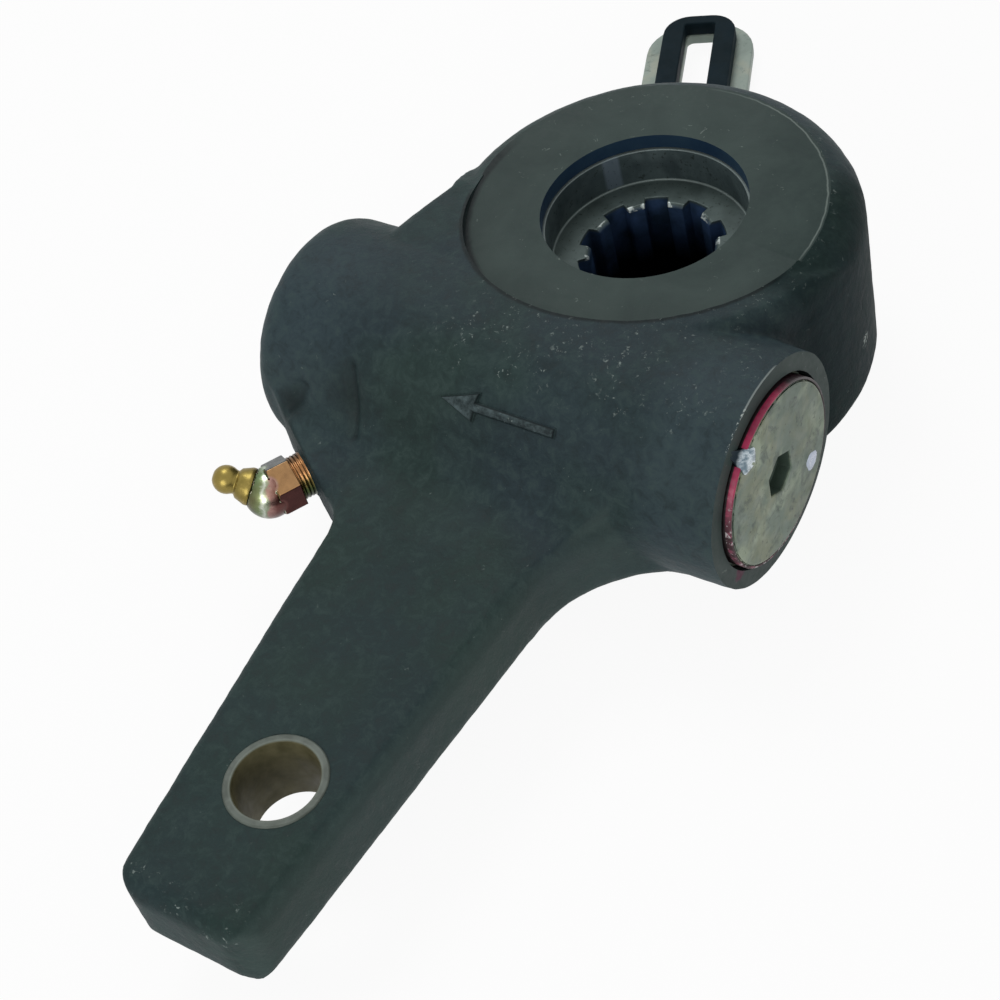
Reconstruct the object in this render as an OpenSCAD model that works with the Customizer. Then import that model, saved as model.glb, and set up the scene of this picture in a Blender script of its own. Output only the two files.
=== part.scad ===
// Automatic brake slack adjuster, all lengths in millimetres.
// The origin is where the camshaft axis (+Z) crosses the plane of the worm axis.
// The lever arm points to -Y and the round end cover of the worm bore to +X.

/* [Camshaft spline] */
// Major diameter of the camshaft spline
spline_major_d = 38.1; // [36:0.1:40]
// Minor diameter across the lands between the grooves
spline_minor_d = 32; // [30:0.5:34]
// Number of spline grooves
spline_grooves = 10; // [6:1:12]
// Width of one spline groove
spline_groove_w = 5.94; // [4:0.02:6.5]
// Angle of the first groove in plan
spline_phase = 8; // [0:1:35]
// Depth of the bevel that leads into the spline
spline_lead = 0.9; // [0.5:0.1:1.2]
// Radius of the counterbore above the spline
counterbore_r = 25.7; // [24:0.1:26]
// Depth of the counterbore from the wheel's upper end
counterbore_depth = 10.2; // [6:0.1:12]

/* [Worm gear] */
// Module of the worm and the worm wheel
gear_module = 3; // [2.8:0.05:3.1]
// Teeth on the worm wheel
wheel_teeth = 24; // [22:1:25]
// Pitch radius of the worm
worm_pitch_r = 11.5; // [11:0.1:12]
// Width of the wheel's toothed face
wheel_face_w = 20; // [16:1:22]
// Wall of the wheel's upper hub
hub_wall = 5.3; // [4.5:0.1:6]
// Wall of the wheel's lower sleeve outside the spline
sleeve_wall = 5; // [4:0.1:5.5]
// Length of the worm's thread
thread_len = 46; // [40:1:48]
// Play between the thread and the teeth, along the worm
gear_backlash = 1.05; // [0.9:0.05:1.2]

/* [Adjusting gear] */
// Module of the rack and its pinion
rack_module = 1.5; // [1.4:0.05:1.55]
// Teeth on the pinion
pinion_teeth = 14; // [13:1:15]
// Width of the rack
rack_w = 6; // [5:0.25:6.5]
// Height of the rack below its pitch line
rack_depth = 7.4; // [6:0.1:8]
// Radius of the peg under the rack
peg_r = 3; // [2.5:0.1:3.4]
// Least angle of the control arm's swing
swing_min = -5; // [-8:1:-3]
// Greatest angle of the control arm's swing
swing_max = 15; // [12:1:18]

/* [Head] */
// Outer radius of the head
head_r = 54; // [52:0.5:58]
// Height of the machined ring above the worm axis
head_top = 25; // [24:0.5:28]
// Depth of the head's lower face below the worm axis
head_drop = 29; // [28:0.5:33]
// Outer radius of the machined ring
ring_r = 45.5; // [43:0.5:47]
// Height over which the shoulder falls from the ring to the side
shoulder_drop = 11; // [8:0.5:14]
// Radius of the lower edge of the head
base_round = 5; // [3:0.5:5.5]
// Radius of the mouth in the machined ring
mouth_r = 26.3; // [25.9:0.1:28]
// Thickness of the wall around the mouth
mouth_wall = 4; // [3.8:0.1:5.5]

/* [Worm boss] */
// Outer radius of the worm boss
boss_r = 30; // [29:0.5:32]
// Outer radius of the boss at its covered end
boss_end_r = 29; // [28:0.1:29.5]
// Reach of the boss towards the cover
boss_reach = 58.1; // [57.5:0.1:60]
// Reach of the boss towards the adjusting hexagon
boss_tail = 75; // [73:0.5:78]
// Radius of the boss's closed end
tail_round = 7; // [6:0.5:10]
// Radius of the bore round the worm and the main spring
worm_bore_r = 15.3; // [15.1:0.1:16]
// Radius of the clutch chamber
chamber_r = 22; // [20:0.5:23]

/* [Lever arm] */
// Distance from the camshaft to the clevis pin
arm_length = 170; // [150:1:185]
// Thickness of the arm
arm_t = 20; // [16:0.5:22]
// Height of the arm's upper face above the worm axis
arm_top = 1; // [-2:0.5:4]
// Reach of the arm beyond the clevis pin
arm_tip = 37; // [30:1:42]
// Half width on the right of the clevis pin
arm_right = 19.3; // [18:0.1:22]
// Half width on the left of the clevis pin
arm_left = 24.9; // [20:0.1:26]
// Angle of the arm's right edge to the arm's length
right_lean = 2.6; // [0:0.2:4]
// Angle of the arm's left edge to the arm's length
left_lean = 7.2; // [5:0.2:9]
// Radius of the arm's corners in plan
arm_corner = 9; // [6:0.5:14]
// Radius along the arm's long edges
arm_round = 4.5; // [2:0.5:6]
// Radius of the flare from the arm to the covered end of the boss
flare_r = 34; // [28:1:40]
// Radius of the blend between the boss and the arm's upper face
boss_blend_r = 16; // [10:1:20]
// Inner radius of the clevis bush
bush_r = 10.2; // [8:0.1:10.5]
// Wall of the clevis bush
bush_wall = 2.1; // [1.5:0.1:2.5]
// Length of the bush that stands out of each face
bush_proud = 0.4; // [0:0.1:1]

/* [End cover] */
// Radius of the end cover's face
cover_disc_r = 22.7; // [22:0.1:23]
// Radius of the cover's flange, which fits the boss
cover_flange_r = 24.4; // [24:0.1:25]
// Thickness of the cover's flange
cover_flange_t = 4; // [3:0.1:4.5]
// Depth of the cover's seat below the end of the boss
cover_seat_depth = 7.1; // [6.5:0.1:7.5]
// Height of the cover's face above the end of the boss
cover_proud = 2.1; // [1.5:0.1:2.5]
// Width across the flats of the socket in the cover
socket_af = 10; // [8:0.5:11]
// Depth of the socket in the cover
socket_depth = 4; // [3:0.5:5]
// Thickness of the seal ring round the cover
rim_seal_t = 0.7; // [0.5:0.1:1]
// Height of the cover's face above that seal ring
rim_seal_drop = 0.3; // [0.2:0.1:1]

/* [Worm shaft] */
// Radius of the worm's long journal
journal_r = 7; // [6.9:0.05:7.4]
// Width across the flats of the adjusting hexagon
adjuster_af = 12; // [11:0.5:12]
// Length of the adjusting hexagon outside the boss
adjuster_len = 10; // [6:0.5:12]
// Radius of the worm's short stub in the cover
stub_r = 5.5; // [5:0.1:6]
// Radius of the main spring's wire
spring_wire_r = 2.2; // [1.6:0.1:2.4]
// Turns of the main spring
spring_turns = 5; // [4:1:6]

/* [Control arm] */
// Angle of the control arm in plan
control_angle = 113.1; // [105:0.1:125]
// Offset of the control arm to the side of the camshaft
control_offset = 6.9; // [0:0.1:9]
// Distance from the camshaft to the control arm's tip
control_reach = 148.2; // [138:0.2:155]
// Width of the control arm
control_w = 33; // [31:0.5:36]
// Thickness of the control arm
control_t = 3.4; // [3:0.1:5]
// Radius of the corners at the control arm's tip
control_corner = 13; // [10:0.5:15]
// Wall of the control arm's eye
eye_wall = 10; // [8:0.5:12]
// Width of the anchor slot
slot_w = 9.4; // [8:0.1:11]
// Length of the anchor slot
slot_len = 44; // [36:1:48]
// Wall of the slot liner at its sides
liner_wall = 6.5; // [5:0.1:7]
// Wall of the slot liner at its ends
liner_end_wall = 4; // [3:0.1:5]
// Margin of the control arm beyond the liner's tip
liner_margin = 1.2; // [0.6:0.2:3]
// Thickness of the slot liner
liner_t = 4.6; // [3:0.1:6]

/* [Control unit] */
// Wall of the control disc's collar
collar_wall = 6.4; // [6:0.1:7]
// Thickness of the control disc
disc_t = 5; // [4:0.25:5.5]
// Thickness of the lower cover plate
plate_t = 3.5; // [3:0.25:4.5]
// Radius of the lower cover plate
plate_r = 48.5; // [48:0.5:49]
// Thickness of the gasket above the lower cover plate
gasket_t = 0.5; // [0.3:0.1:1]
// Screws in the lower cover plate
screw_count = 5; // [4:1:5]
// Radius of the circle of screws
screw_circle_r = 44.6; // [44:0.1:45]
// Radius of a screw's shank
screw_r = 2; // [1.5:0.1:2.2]
// Angle of the first screw
screw_phase = 40; // [36:1:44]

/* [Grease nipple] */
// Place of the nipple along its pad, from the pad's middle
nipple_shift = 7.3; // [4:0.1:10]
// Depth of the nipple below the worm axis
nipple_drop = 8; // [6:0.5:10]
// Radius of the nipple's thread
nipple_thread_r = 6; // [4.5:0.1:6.2]
// Width across the flats of the nipple's hexagon
nipple_af = 12.7; // [11:0.1:14]
// Bend of the nipple's head
nipple_bend = 45; // [30:5:60]
// Upward roll of the nipple's head
nipple_roll = 35; // [0:5:60]

/* [Fits] */
// Radial clearance of running fits
run_clear = 0.05; // [0.03:0.01:0.08]
// Clearance between pieces that move past each other
free_gap = 0.3; // [0.25:0.05:0.4]

/* [Hidden] */
$fn = 48;
eps = 0.01;
past = 1;
pressure_angle = 20;

// Worm and wheel
wheel_pitch_r = gear_module * wheel_teeth / 2;
wheel_tip_r = wheel_pitch_r + gear_module;
wheel_root_r = wheel_pitch_r - 1.25 * gear_module;
worm_tip_r = worm_pitch_r + gear_module;
worm_root_r = worm_pitch_r - 1.25 * gear_module;
worm_y = -(wheel_pitch_r + worm_pitch_r);
thread_pitch = PI * gear_module;
lead_angle = atan(thread_pitch / (2 * PI * worm_pitch_r));
spline_r = spline_major_d / 2;
hub_r = counterbore_r + hub_wall;
sleeve_r = spline_r + sleeve_wall;
cavity_r = wheel_tip_r + past;
hub_top = head_top - mouth_wall - free_gap;
hub_step = wheel_face_w / 2 + 1.5;
shoulder_ring_r = sleeve_r + 5.5;

// Rack, pinion and the peg that the control disc pushes
pinion_pitch_r = rack_module * pinion_teeth / 2;
pinion_tip_r = pinion_pitch_r + rack_module;
pinion_root_r = pinion_pitch_r - 1.25 * rack_module;
rack_pitch = PI * rack_module;
rack_x = wheel_tip_r + past + rack_w / 2;
rack_floor = -pinion_pitch_r - rack_depth;
swing_mid = (swing_min + swing_max) / 2;
peg_angle = -swing_mid;
peg_y = rack_x * tan(peg_angle);
rack_up = rack_x * swing_max * PI / 180;
rack_down = -rack_x * swing_min * PI / 180;
rack_mesh = 4;
rack_end = worm_y - rack_up - rack_mesh;
rack_head = peg_y + peg_r + 2;

// Levels below the worm axis
head_bottom = -head_drop;
disc_top = rack_floor - free_gap;
disc_bottom = disc_top - disc_t;
plate_top = head_bottom - gasket_t;
plate_bottom = plate_top - plate_t;
control_top = plate_bottom - free_gap - 0.1;
control_bottom = control_top - control_t;
clip_t = 1.5;
clip_bottom = control_bottom - clip_t;
neck_bottom = clip_bottom - 1;
sleeve_bottom = neck_bottom + 1.5;

// Control disc
collar_in = sleeve_r + run_clear;
collar_r = collar_in + collar_wall;
neck_r = collar_r - 1.9;
neck_flat = neck_r - 1.6;
groove_r = neck_r - 1.4;
disc_r = cavity_r - 1;
peg_gap = 0.35;
ear_r = rack_x + peg_r + 2.5;
ear_half_w = peg_r + 4;
pocket_r = ear_r + 1;
ear_half_angle = atan(ear_half_w / disc_r);
pocket_half_angle = (swing_max - swing_min) / 2 + ear_half_angle + 3;
ring_in = collar_r + free_gap;
ring_top = disc_bottom - free_gap;

// Stations along the worm axis
cover_seat_x = boss_reach - cover_seat_depth;
cover_flange_x = cover_seat_x + cover_flange_t;
cover_face_x = boss_reach + cover_proud;
tail_wall = 9;
spring_wall_x = -boss_tail + tail_wall;
seat_t = 2.5;
thread_half = thread_len / 2;
worm_collar_x = thread_half + 2;
worm_collar_r = worm_pitch_r + 0.5;
thrust_x = -worm_collar_x - free_gap - seat_t;
dog_x = worm_collar_x + 1.5;
dog_h = 2.8;
dog_count = 8;
dog_r = worm_collar_r - 0.4;
clutch_x = dog_x + dog_h + 0.2;
clutch_face_t = 3.5;
clutch_r = worm_collar_r + 1;
clutch_hub_r = pinion_root_r - 0.2;
clutch_end_x = clutch_x + clutch_face_t + 2.5;
pinion_x = rack_x - rack_w / 2 - 0.4;
pinion_w = rack_w + 0.8;
pinion_hub_x = clutch_end_x + free_gap;
pinion_end_x = pinion_x + pinion_w + 1;
washer_t = 1.6;
washer_x = pinion_end_x + free_gap;
cover_boss_x = washer_x + washer_t;
stub_end_x = cover_seat_x + 1;
chamber_x = worm_collar_x + 1;
wrap_wire_r = 0.6;
wrap_r = clutch_hub_r + wrap_wire_r + 0.2;
wrap_turns = 3;
bush_t = 3;

// Arm, in plan
arm_bottom = arm_top - arm_t;
pin_y = -arm_length;
tip_y = pin_y - arm_tip;
pad_from_tail = 27;
pad_from_worm = 43.7;
pad_mid = [pad_from_tail - boss_tail, worm_y - pad_from_worm];
pad_normal_angle = 240;
pad_normal = [cos(pad_normal_angle), sin(pad_normal_angle)];
pad_along = [-pad_normal[1], pad_normal[0]];
left_normal_angle = 180 + left_lean;
right_normal_angle = -right_lean;
right_normal = [cos(right_normal_angle), sin(right_normal_angle)];
left_normal = [cos(left_normal_angle), sin(left_normal_angle)];
left_point = [-arm_left, pin_y];
right_point = [arm_right, pin_y];
corner_blend_r = 12;
hollow_inset = 0.15;
hollow_round = 0.83 * arm_round;
boss_end_edge = 0.5;
flare_overlap = 8;
flare_y = worm_y - boss_r - flare_r + flare_overlap;
flare_out = flare_r - hollow_inset;
flare_lean = right_normal[1] * (flare_y - pin_y);
flare_centre = [arm_right + (flare_out - flare_lean) / right_normal[0], flare_y];
// The flare ends where its hollow does, or at the end wall of the boss
flare_end_x = min(flare_centre[0], boss_reach - boss_end_edge);
corner_out = corner_blend_r - hollow_inset;
corner_centre = crossing(pad_normal, pad_normal * pad_mid + corner_out,
                         left_normal, left_normal * left_point + corner_out);

// Front of the head
front_rise_h = boss_r - head_top;
front_rise_y = -8.6;
web_t = 17;
web_round = 6;
web_normal_angle = 166;
web_foot = [-head_r + 4, front_rise_y + 6];
web_top = head_top + front_rise_h / 2;

// Nipple: out of the pad, then along the head
nipple_at = pad_mid - nipple_shift * pad_along;
nipple_thread_in = 9;
nipple_thread_out = 3;
nipple_hex_h = 6;
nipple_elbow_z = nipple_thread_out + nipple_hex_h + 1.2;
nipple_dome_r = nipple_af / 2 + 0.3;
nipple_stem_r = 2.6;
nipple_stem_z = 3;
nipple_seat_z = 4.4;
nipple_collar_r = 4.9;
nipple_collar_h = 1;
nipple_waist_r = 3.9;
nipple_waist_z = 8;
nipple_neck_r = 3;
nipple_neck_z = 8.7;
nipple_ball_r = 3.7;
nipple_ball_z = 11.2;
nipple_tip_r = 0.9;
nipple_tip_z = 14.75;
nipple_pitch = 1;

// Seals of the wheel
seal_depth = 1.8;
seal_h = 2.4;
upper_seal_z = hub_top - 4.4;
lower_seal_z = plate_bottom;

// Control arm, along its length
liner_tip = control_reach - liner_margin;
slot_far = liner_tip - liner_end_wall;
slot_near = slot_far - slot_len;
slot_corner = 2;
liner_corner = 8;
liner_w = slot_w + 2 * liner_wall;
eye_r = neck_r + eye_wall;

// Lower screws
screw_head_r = 2 * screw_r;
screw_len = 14;

// Points of an arc from angle a0 to angle a1
function arc(c, r, a0, a1, n = 8) =
    [for (i = [0:n]) let (a = a0 + (a1 - a0) * i / n) [c[0] + r * cos(a), c[1] + r * sin(a)]];

// Point where two lines cross, each given by its normal n and its offset n * p
function crossing(n1, d1, n2, d2) =
    let (det = n1[0] * n2[1] - n1[1] * n2[0])
    [(d1 * n2[1] - d2 * n1[1]) / det, (n1[0] * d2 - n2[0] * d1) / det];

// Puts children, drawn along +Z, on the worm axis, starting at x
module on_worm(x) {
    translate([x, worm_y, 0]) rotate([0, 90, 0]) children();
}

// Ring along +Z
module ring(r_out, r_in, h) {
    difference() {
        cylinder(r = r_out, h = h);
        translate([0, 0, -past]) cylinder(r = r_in, h = h + 2 * past);
    }
}

// Coil of round wire along +Z with plain ends
module coil(mean_r, wire_r, h, turns, steps = 20, sides = 8) {
    n = turns * steps;
    rise = h - 2 * wire_r;
    points = [for (i = [0:n], j = [0:sides - 1])
        let (a = 360 * i / steps, b = 360 * j / sides, r = mean_r + wire_r * cos(b))
        [r * cos(a), r * sin(a), wire_r + rise * i / n + wire_r * sin(b)]];
    walls = [for (i = [0:n - 1], j = [0:sides - 1])
        let (k = (j + 1) % sides, p = i * sides, q = p + sides)
        each [[p + j, q + k, q + j], [p + j, p + k, q + k]]];
    first_cap = [[for (j = [0:sides - 1]) sides - 1 - j]];
    last_cap = [[for (j = [0:sides - 1]) n * sides + j]];
    polyhedron(points, concat(first_cap, walls, last_cap), convexity = 10);
}

// Worm thread round +Z, with a ridge at angle 0 and height 0
module worm_thread(steps = 24) {
    turns = thread_len / thread_pitch - 1;
    n = floor(turns * steps / 2) * 2;
    half_at = function(r)
        thread_pitch / 4 - gear_backlash / 2 + (worm_pitch_r - r) * tan(pressure_angle);
    inner_r = worm_root_r - 0.5;
    profile = [[inner_r, -half_at(inner_r)], [worm_tip_r, -half_at(worm_tip_r)],
               [worm_tip_r, half_at(worm_tip_r)], [inner_r, half_at(inner_r)]];
    points = [for (i = [0:n], p = profile)
        let (a = 360 * (i - n / 2) / steps)
        [p[0] * cos(a), p[0] * sin(a), p[1] + thread_pitch * a / 360]];
    walls = [for (i = [0:n - 1], j = [0:3])
        let (k = (j + 1) % 4, p = i * 4, q = p + 4)
        each [[p + j, q + k, q + j], [p + j, p + k, q + k]]];
    polyhedron(points, concat([[3, 2, 1, 0]], walls, [[n * 4, n * 4 + 1, n * 4 + 2, n * 4 + 3]]),
               convexity = 10);
}

// Half of the head's section, turned about the camshaft axis
module head_section(head_r = head_r) {
    fall = head_r - ring_r;
    shoulder_r = (fall * fall + shoulder_drop * shoulder_drop) / (2 * fall);
    edge_angle = asin(shoulder_drop / shoulder_r);
    polygon(concat(
        [[0, head_bottom]],
        arc([head_r - base_round, head_bottom + base_round], base_round, -90, 0),
        arc([head_r - shoulder_r, head_top - shoulder_drop], shoulder_r, 0, edge_angle),
        [[0, head_top]]));
}

// Half of the boss's section, turned about the worm axis
module boss_section() {
    polygon(concat(
        [[0, -boss_tail]],
        arc([boss_r - tail_round, -boss_tail + tail_round], tail_round, -90, 0),
        [[boss_r, chamber_x], [boss_end_r, boss_reach - boss_end_edge],
         [boss_end_r - boss_end_edge, boss_reach], [0, boss_reach]]));
}

// Long prism with rounded edges on one side: its face passes through p with the outward normal angle
module edge_prism(p, normal_angle) {
    deep = 2 * arm_length;
    translate([p[0], p[1], 0]) rotate([0, 0, normal_angle]) rotate([90, 0, 0])
        linear_extrude(height = 2 * deep, center = true)
            polygon(concat(
                [[-deep, arm_top], [-deep, arm_bottom]],
                arc([-arm_round, arm_bottom + arm_round], arm_round, -90, 0, 5),
                arc([-arm_round, arm_top - arm_round], arm_round, 0, 90, 5)));
}

// Outline of the straight arm in plan
module arm_outline() {
    foot = worm_y - pin_y;
    left_foot = left_point + [-tan(left_lean) * foot, foot];
    right_foot = right_point + [tan(right_lean) * foot, foot];
    tip_left = left_point[0] + tan(left_lean) * arm_tip + arm_corner * tan(45 + left_lean / 2);
    tip_right = right_point[0] - tan(right_lean) * arm_tip - arm_corner * tan(45 - right_lean / 2);
    polygon(concat(
        [left_foot],
        arc([tip_left - tan(left_lean) * arm_corner, tip_y + arm_corner], arm_corner,
            left_normal_angle, 270),
        arc([tip_right + tan(right_lean) * arm_corner, tip_y + arm_corner], arm_corner,
            270, 360 + right_normal_angle),
        [right_foot]));
}

// Straight part of the arm, with rounded edges
module arm_bar() {
    intersection() {
        translate([0, 0, arm_bottom - past]) linear_extrude(height = arm_t + 2 * past) arm_outline();
        edge_prism(left_point, left_normal_angle);
        edge_prism(right_point, right_normal_angle);
        edge_prism([0, tip_y], 270);
    }
}

// Section of a spool that cuts a hollow of radius r with rounded edges, turned about the hollow's axis
module spool_section(r) {
    polygon(concat(
        [[0, arm_bottom - past], [r + hollow_round, arm_bottom - past]],
        arc([r + hollow_round, arm_bottom + hollow_round], hollow_round, 270, 180, 5),
        arc([r + hollow_round, arm_top - hollow_round], hollow_round, 180, 90, 5),
        [[r + hollow_round, arm_top + past], [0, arm_top + past]]));
}

// Flare on the cover side and the nipple's pad on the other, in plan, before the hollows are cut
module flare_outline() {
    pad_end = [-boss_tail + tail_round / 2, worm_y - boss_r * 0.9];
    polygon([[-boss_tail + tail_round, worm_y], pad_end,
             corner_centre - corner_out * pad_normal, corner_centre,
             corner_centre - corner_out * left_normal,
             [0, flare_centre[1]], [flare_end_x, flare_centre[1]], [flare_end_x, worm_y]]);
}

// Flare and pad with the hollows cut beside the arm
module flare() {
    difference() {
        translate([0, 0, arm_bottom]) linear_extrude(height = arm_t) flare_outline();
        hollows();
    }
}

// Hollows on both sides of the arm's root
module hollows() {
    translate([flare_centre[0], flare_centre[1], 0]) rotate_extrude() spool_section(flare_r);
    translate([corner_centre[0], corner_centre[1], 0]) rotate_extrude() spool_section(corner_blend_r);
}

// Blend between the boss and the arm's upper or lower face, in section across the worm
module blend_section(level, side, r) {
    c = [worm_y - sqrt(pow(boss_r + r, 2) - pow(r + side * level, 2)), level + side * r];
    touch = [worm_y + (c[0] - worm_y) * boss_r / (boss_r + r), c[1] * boss_r / (boss_r + r)];
    start = side > 0 ? 270 : 90;
    stop = atan2(touch[1] - c[1], touch[0] - c[0]);
    full_stop = side > 0 ? stop + 360 : stop;
    polygon(concat(
        arc(c, r, start, full_stop, 6),
        [[worm_y, touch[1]], [worm_y, level - side * 2], [c[0], level - side * 2]]));
}

// Blend along the boss, cut to the flare's outline
module boss_blend(level, side, r) {
    intersection() {
        translate([0, 0, -boss_r]) linear_extrude(height = 2 * boss_r) difference() {
            union() {
                flare_outline();
                arm_outline();
            }
            translate(flare_centre) circle(r = flare_r + arm_round / 2);
            translate(corner_centre) circle(r = corner_blend_r + arm_round / 2);
        }
        rotate([90, 0, 90]) linear_extrude(height = 4 * boss_tail, center = true)
            blend_section(level, side, r);
    }
}

// Space under the slope that falls from the top of the boss to the machined ring
module under_slope() {
    back_y = front_rise_y + 2 * shoulder_drop;
    rotate([90, 0, 90]) linear_extrude(height = 4 * head_r, center = true)
        polygon([[back_y, -web_t - past], [back_y, head_top - shoulder_drop], [front_rise_y, head_top],
                 [worm_y, head_top + front_rise_h], [-2 * head_r, head_top + front_rise_h],
                 [-2 * head_r, -web_t - past]]);
}

// Space behind the rounded side of the corner web
module web_side() {
    translate([web_foot[0], web_foot[1], 0]) rotate([0, 0, web_normal_angle]) rotate([90, 0, 0])
        linear_extrude(height = 4 * head_r, center = true)
            polygon(concat(
                [[-2 * head_r, web_top], [-2 * head_r, -web_t], [0, -web_t]],
                arc([-web_round, web_top - web_round], web_round, 0, 90, 5)));
}

// Casting that fills the corner between the head and the closed end of the boss
module corner_web() {
    intersection() {
        translate([-boss_tail, worm_y, -boss_r])
            cube([boss_tail, front_rise_y + shoulder_drop - worm_y, 2 * boss_r]);
        translate([0, 0, -hollow_inset]) under_slope();
        web_side();
    }
}

// Casting round the front of the machined ring, rising to the worm boss
module front_rise() {
    intersection() {
        translate([0, 0, front_rise_h]) rotate_extrude() head_section(head_r - free_gap);
        under_slope();
    }
}

// Casting without its bores
module casting() {
    difference() {
        union() {
            rotate_extrude() head_section();
            front_rise();
            on_worm(0) rotate_extrude() boss_section();
            arm_bar();
            flare();
            boss_blend(arm_top, 1, boss_blend_r);
            boss_blend(arm_bottom, -1, boss_blend_r / 2);
            corner_web();
        }
        // Spot faces round the mouth and under the lower cover
        translate([0, 0, head_top]) cylinder(r = ring_r, h = boss_r);
        translate([0, 0, head_bottom - boss_r]) cylinder(r = plate_r + free_gap, h = boss_r);
    }
}

// Bores of the head
module head_bores() {
    translate([0, 0, head_bottom - past]) cylinder(r = cavity_r, h = hub_step - head_bottom + past);
    cylinder(r = hub_r + run_clear, h = head_top - mouth_wall);
    cylinder(r = mouth_r, h = head_top + past);
    // Pocket for the control disc's ear
    intersection() {
        translate([0, 0, head_bottom - past])
            cylinder(r = pocket_r, h = disc_top + free_gap - head_bottom + past);
        translate([0, 0, head_bottom - 2 * past]) linear_extrude(height = head_drop)
            polygon([[0, 0], [2 * pocket_r, -2 * pocket_r * tan(pocket_half_angle)],
                     [2 * pocket_r, 2 * pocket_r * tan(pocket_half_angle)]]);
    }
    // Rack way
    translate([rack_x - rack_w / 2 - 2, rack_end - rack_down - past, rack_floor - free_gap / 2])
        cube([rack_w + 2 + run_clear * 2, rack_head + rack_up - rack_end + rack_down + 2 * past,
              rack_depth + pinion_pitch_r]);
    for (i = [0:screw_count - 1])
        rotate([0, 0, screw_phase + 360 / screw_count * i])
            translate([screw_circle_r, 0, plate_bottom])
                cylinder(r = screw_r + run_clear, h = screw_len + free_gap);
}

// Bores of the boss
module boss_bores() {
    on_worm(spring_wall_x) cylinder(r = worm_bore_r, h = chamber_x - spring_wall_x + past);
    on_worm(chamber_x) cylinder(r = chamber_r, h = cover_seat_x - chamber_x + past);
    on_worm(cover_seat_x) cylinder(r = cover_flange_r + run_clear, h = cover_seat_depth + past);
    on_worm(-boss_tail - past) cylinder(r = journal_r + bush_t, h = tail_wall + 2 * past);
}

// Frame of the nipple: origin on the pad, +Z out of it
module on_pad() {
    translate([nipple_at[0], nipple_at[1], -nipple_drop])
        rotate([0, 0, pad_normal_angle]) rotate([0, 90, 0]) children();
}

module housing() {
    oilway_r = 1.5;
    oilway_depth = 36;
    thread_depth = nipple_thread_in + 1;
    color([0.19, 0.23, 0.23]) difference() {
        casting();
        head_bores();
        boss_bores();
        translate([0, pin_y, arm_bottom - past]) cylinder(r = bush_r + bush_wall, h = arm_t + 2 * past);
        on_pad() {
            translate([0, 0, -thread_depth]) cylinder(r = nipple_thread_r, h = thread_depth + 2 * past);
            translate([0, 0, -oilway_depth]) cylinder(r = oilway_r, h = oilway_depth);
        }
    }
}

module clevis_bush() {
    color([0.37, 0.38, 0.35]) translate([0, pin_y, arm_bottom - bush_proud])
        ring(bush_r + bush_wall, bush_r, arm_t + 2 * bush_proud);
}

module end_cover() {
    edge = 0.4;
    boss_wall = 4;
    color([0.54, 0.57, 0.48]) difference() {
        union() {
            on_worm(cover_seat_x) cylinder(r = cover_flange_r, h = cover_flange_t);
            on_worm(cover_seat_x) cylinder(r = cover_disc_r, h = cover_face_x - cover_seat_x - edge);
            on_worm(cover_face_x - edge) cylinder(r1 = cover_disc_r, r2 = cover_disc_r - edge, h = edge);
            on_worm(cover_boss_x) cylinder(r = stub_r + boss_wall, h = cover_seat_x - cover_boss_x + past);
        }
        on_worm(cover_boss_x - past)
            cylinder(r = stub_r + run_clear, h = stub_end_x - cover_boss_x + past + free_gap);
        on_worm(cover_face_x - socket_depth)
            cylinder(d = socket_af / cos(30), h = socket_depth + past, $fn = 6);
    }
}

module cover_seal() {
    color([0.66, 0.15, 0.31]) on_worm(cover_flange_x)
        ring(cover_disc_r + rim_seal_t, cover_disc_r, cover_face_x - rim_seal_drop - cover_flange_x);
}

// Ridges of the nipple's thread outside the pad, turned about its axis
module nipple_ridges() {
    depth = 0.45;
    count = floor(nipple_thread_out / nipple_pitch);
    rotate_extrude() polygon(concat(
        [[0, 0]],
        [for (i = [0:count - 1], side = [0, 1])
            [nipple_thread_r - (1 - side) * depth, nipple_pitch * (i + side / 2)]],
        [[nipple_thread_r - depth, nipple_pitch * count], [nipple_thread_r - depth, nipple_thread_out + eps],
         [0, nipple_thread_out + eps]]));
}

module nipple_base() {
    color([0.72, 0.58, 0.36]) on_pad() difference() {
        union() {
            translate([0, 0, -nipple_thread_in])
                cylinder(r = nipple_thread_r - run_clear, h = nipple_thread_in + eps);
            nipple_ridges();
            translate([0, 0, nipple_thread_out]) cylinder(d = nipple_af / cos(30), h = nipple_hex_h, $fn = 6);
            nipple_elbow() sphere(r = nipple_dome_r);
        }
        nipple_head_place() translate([0, 0, nipple_stem_z]) cylinder(r = nipple_stem_r, h = nipple_af);
        nipple_head_place() translate([0, 0, nipple_seat_z]) cylinder(r = nipple_af, h = nipple_af);
    }
}

// Middle of the nipple's bend
module nipple_elbow() {
    translate([0, 0, nipple_elbow_z]) children();
}

// Frame of the nipple's head: +Z along the head, from the middle of the bend
module nipple_head_place() {
    nipple_elbow() rotate([0, 0, -nipple_roll]) rotate([nipple_bend, 0, 0]) children();
}

// Stem in the base, collar, neck and ball end, turned about the head's axis
module nipple_head() {
    seat = nipple_seat_z + run_clear;
    ball_start = -31;
    color([0.48, 0.43, 0.2]) on_pad() nipple_head_place() rotate_extrude() polygon(concat(
        [[0, nipple_stem_z], [nipple_stem_r, nipple_stem_z], [nipple_stem_r, seat], [nipple_collar_r, seat],
         [nipple_collar_r, seat + nipple_collar_h], [nipple_waist_r, nipple_waist_z],
         [nipple_neck_r, nipple_neck_z]],
        arc([0, nipple_ball_z], nipple_ball_r, ball_start, 70, 8),
        [[nipple_tip_r, nipple_tip_z], [nipple_tip_r / 2, nipple_tip_z - nipple_tip_r],
         [0, nipple_tip_z - nipple_tip_r]]));
}

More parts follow.
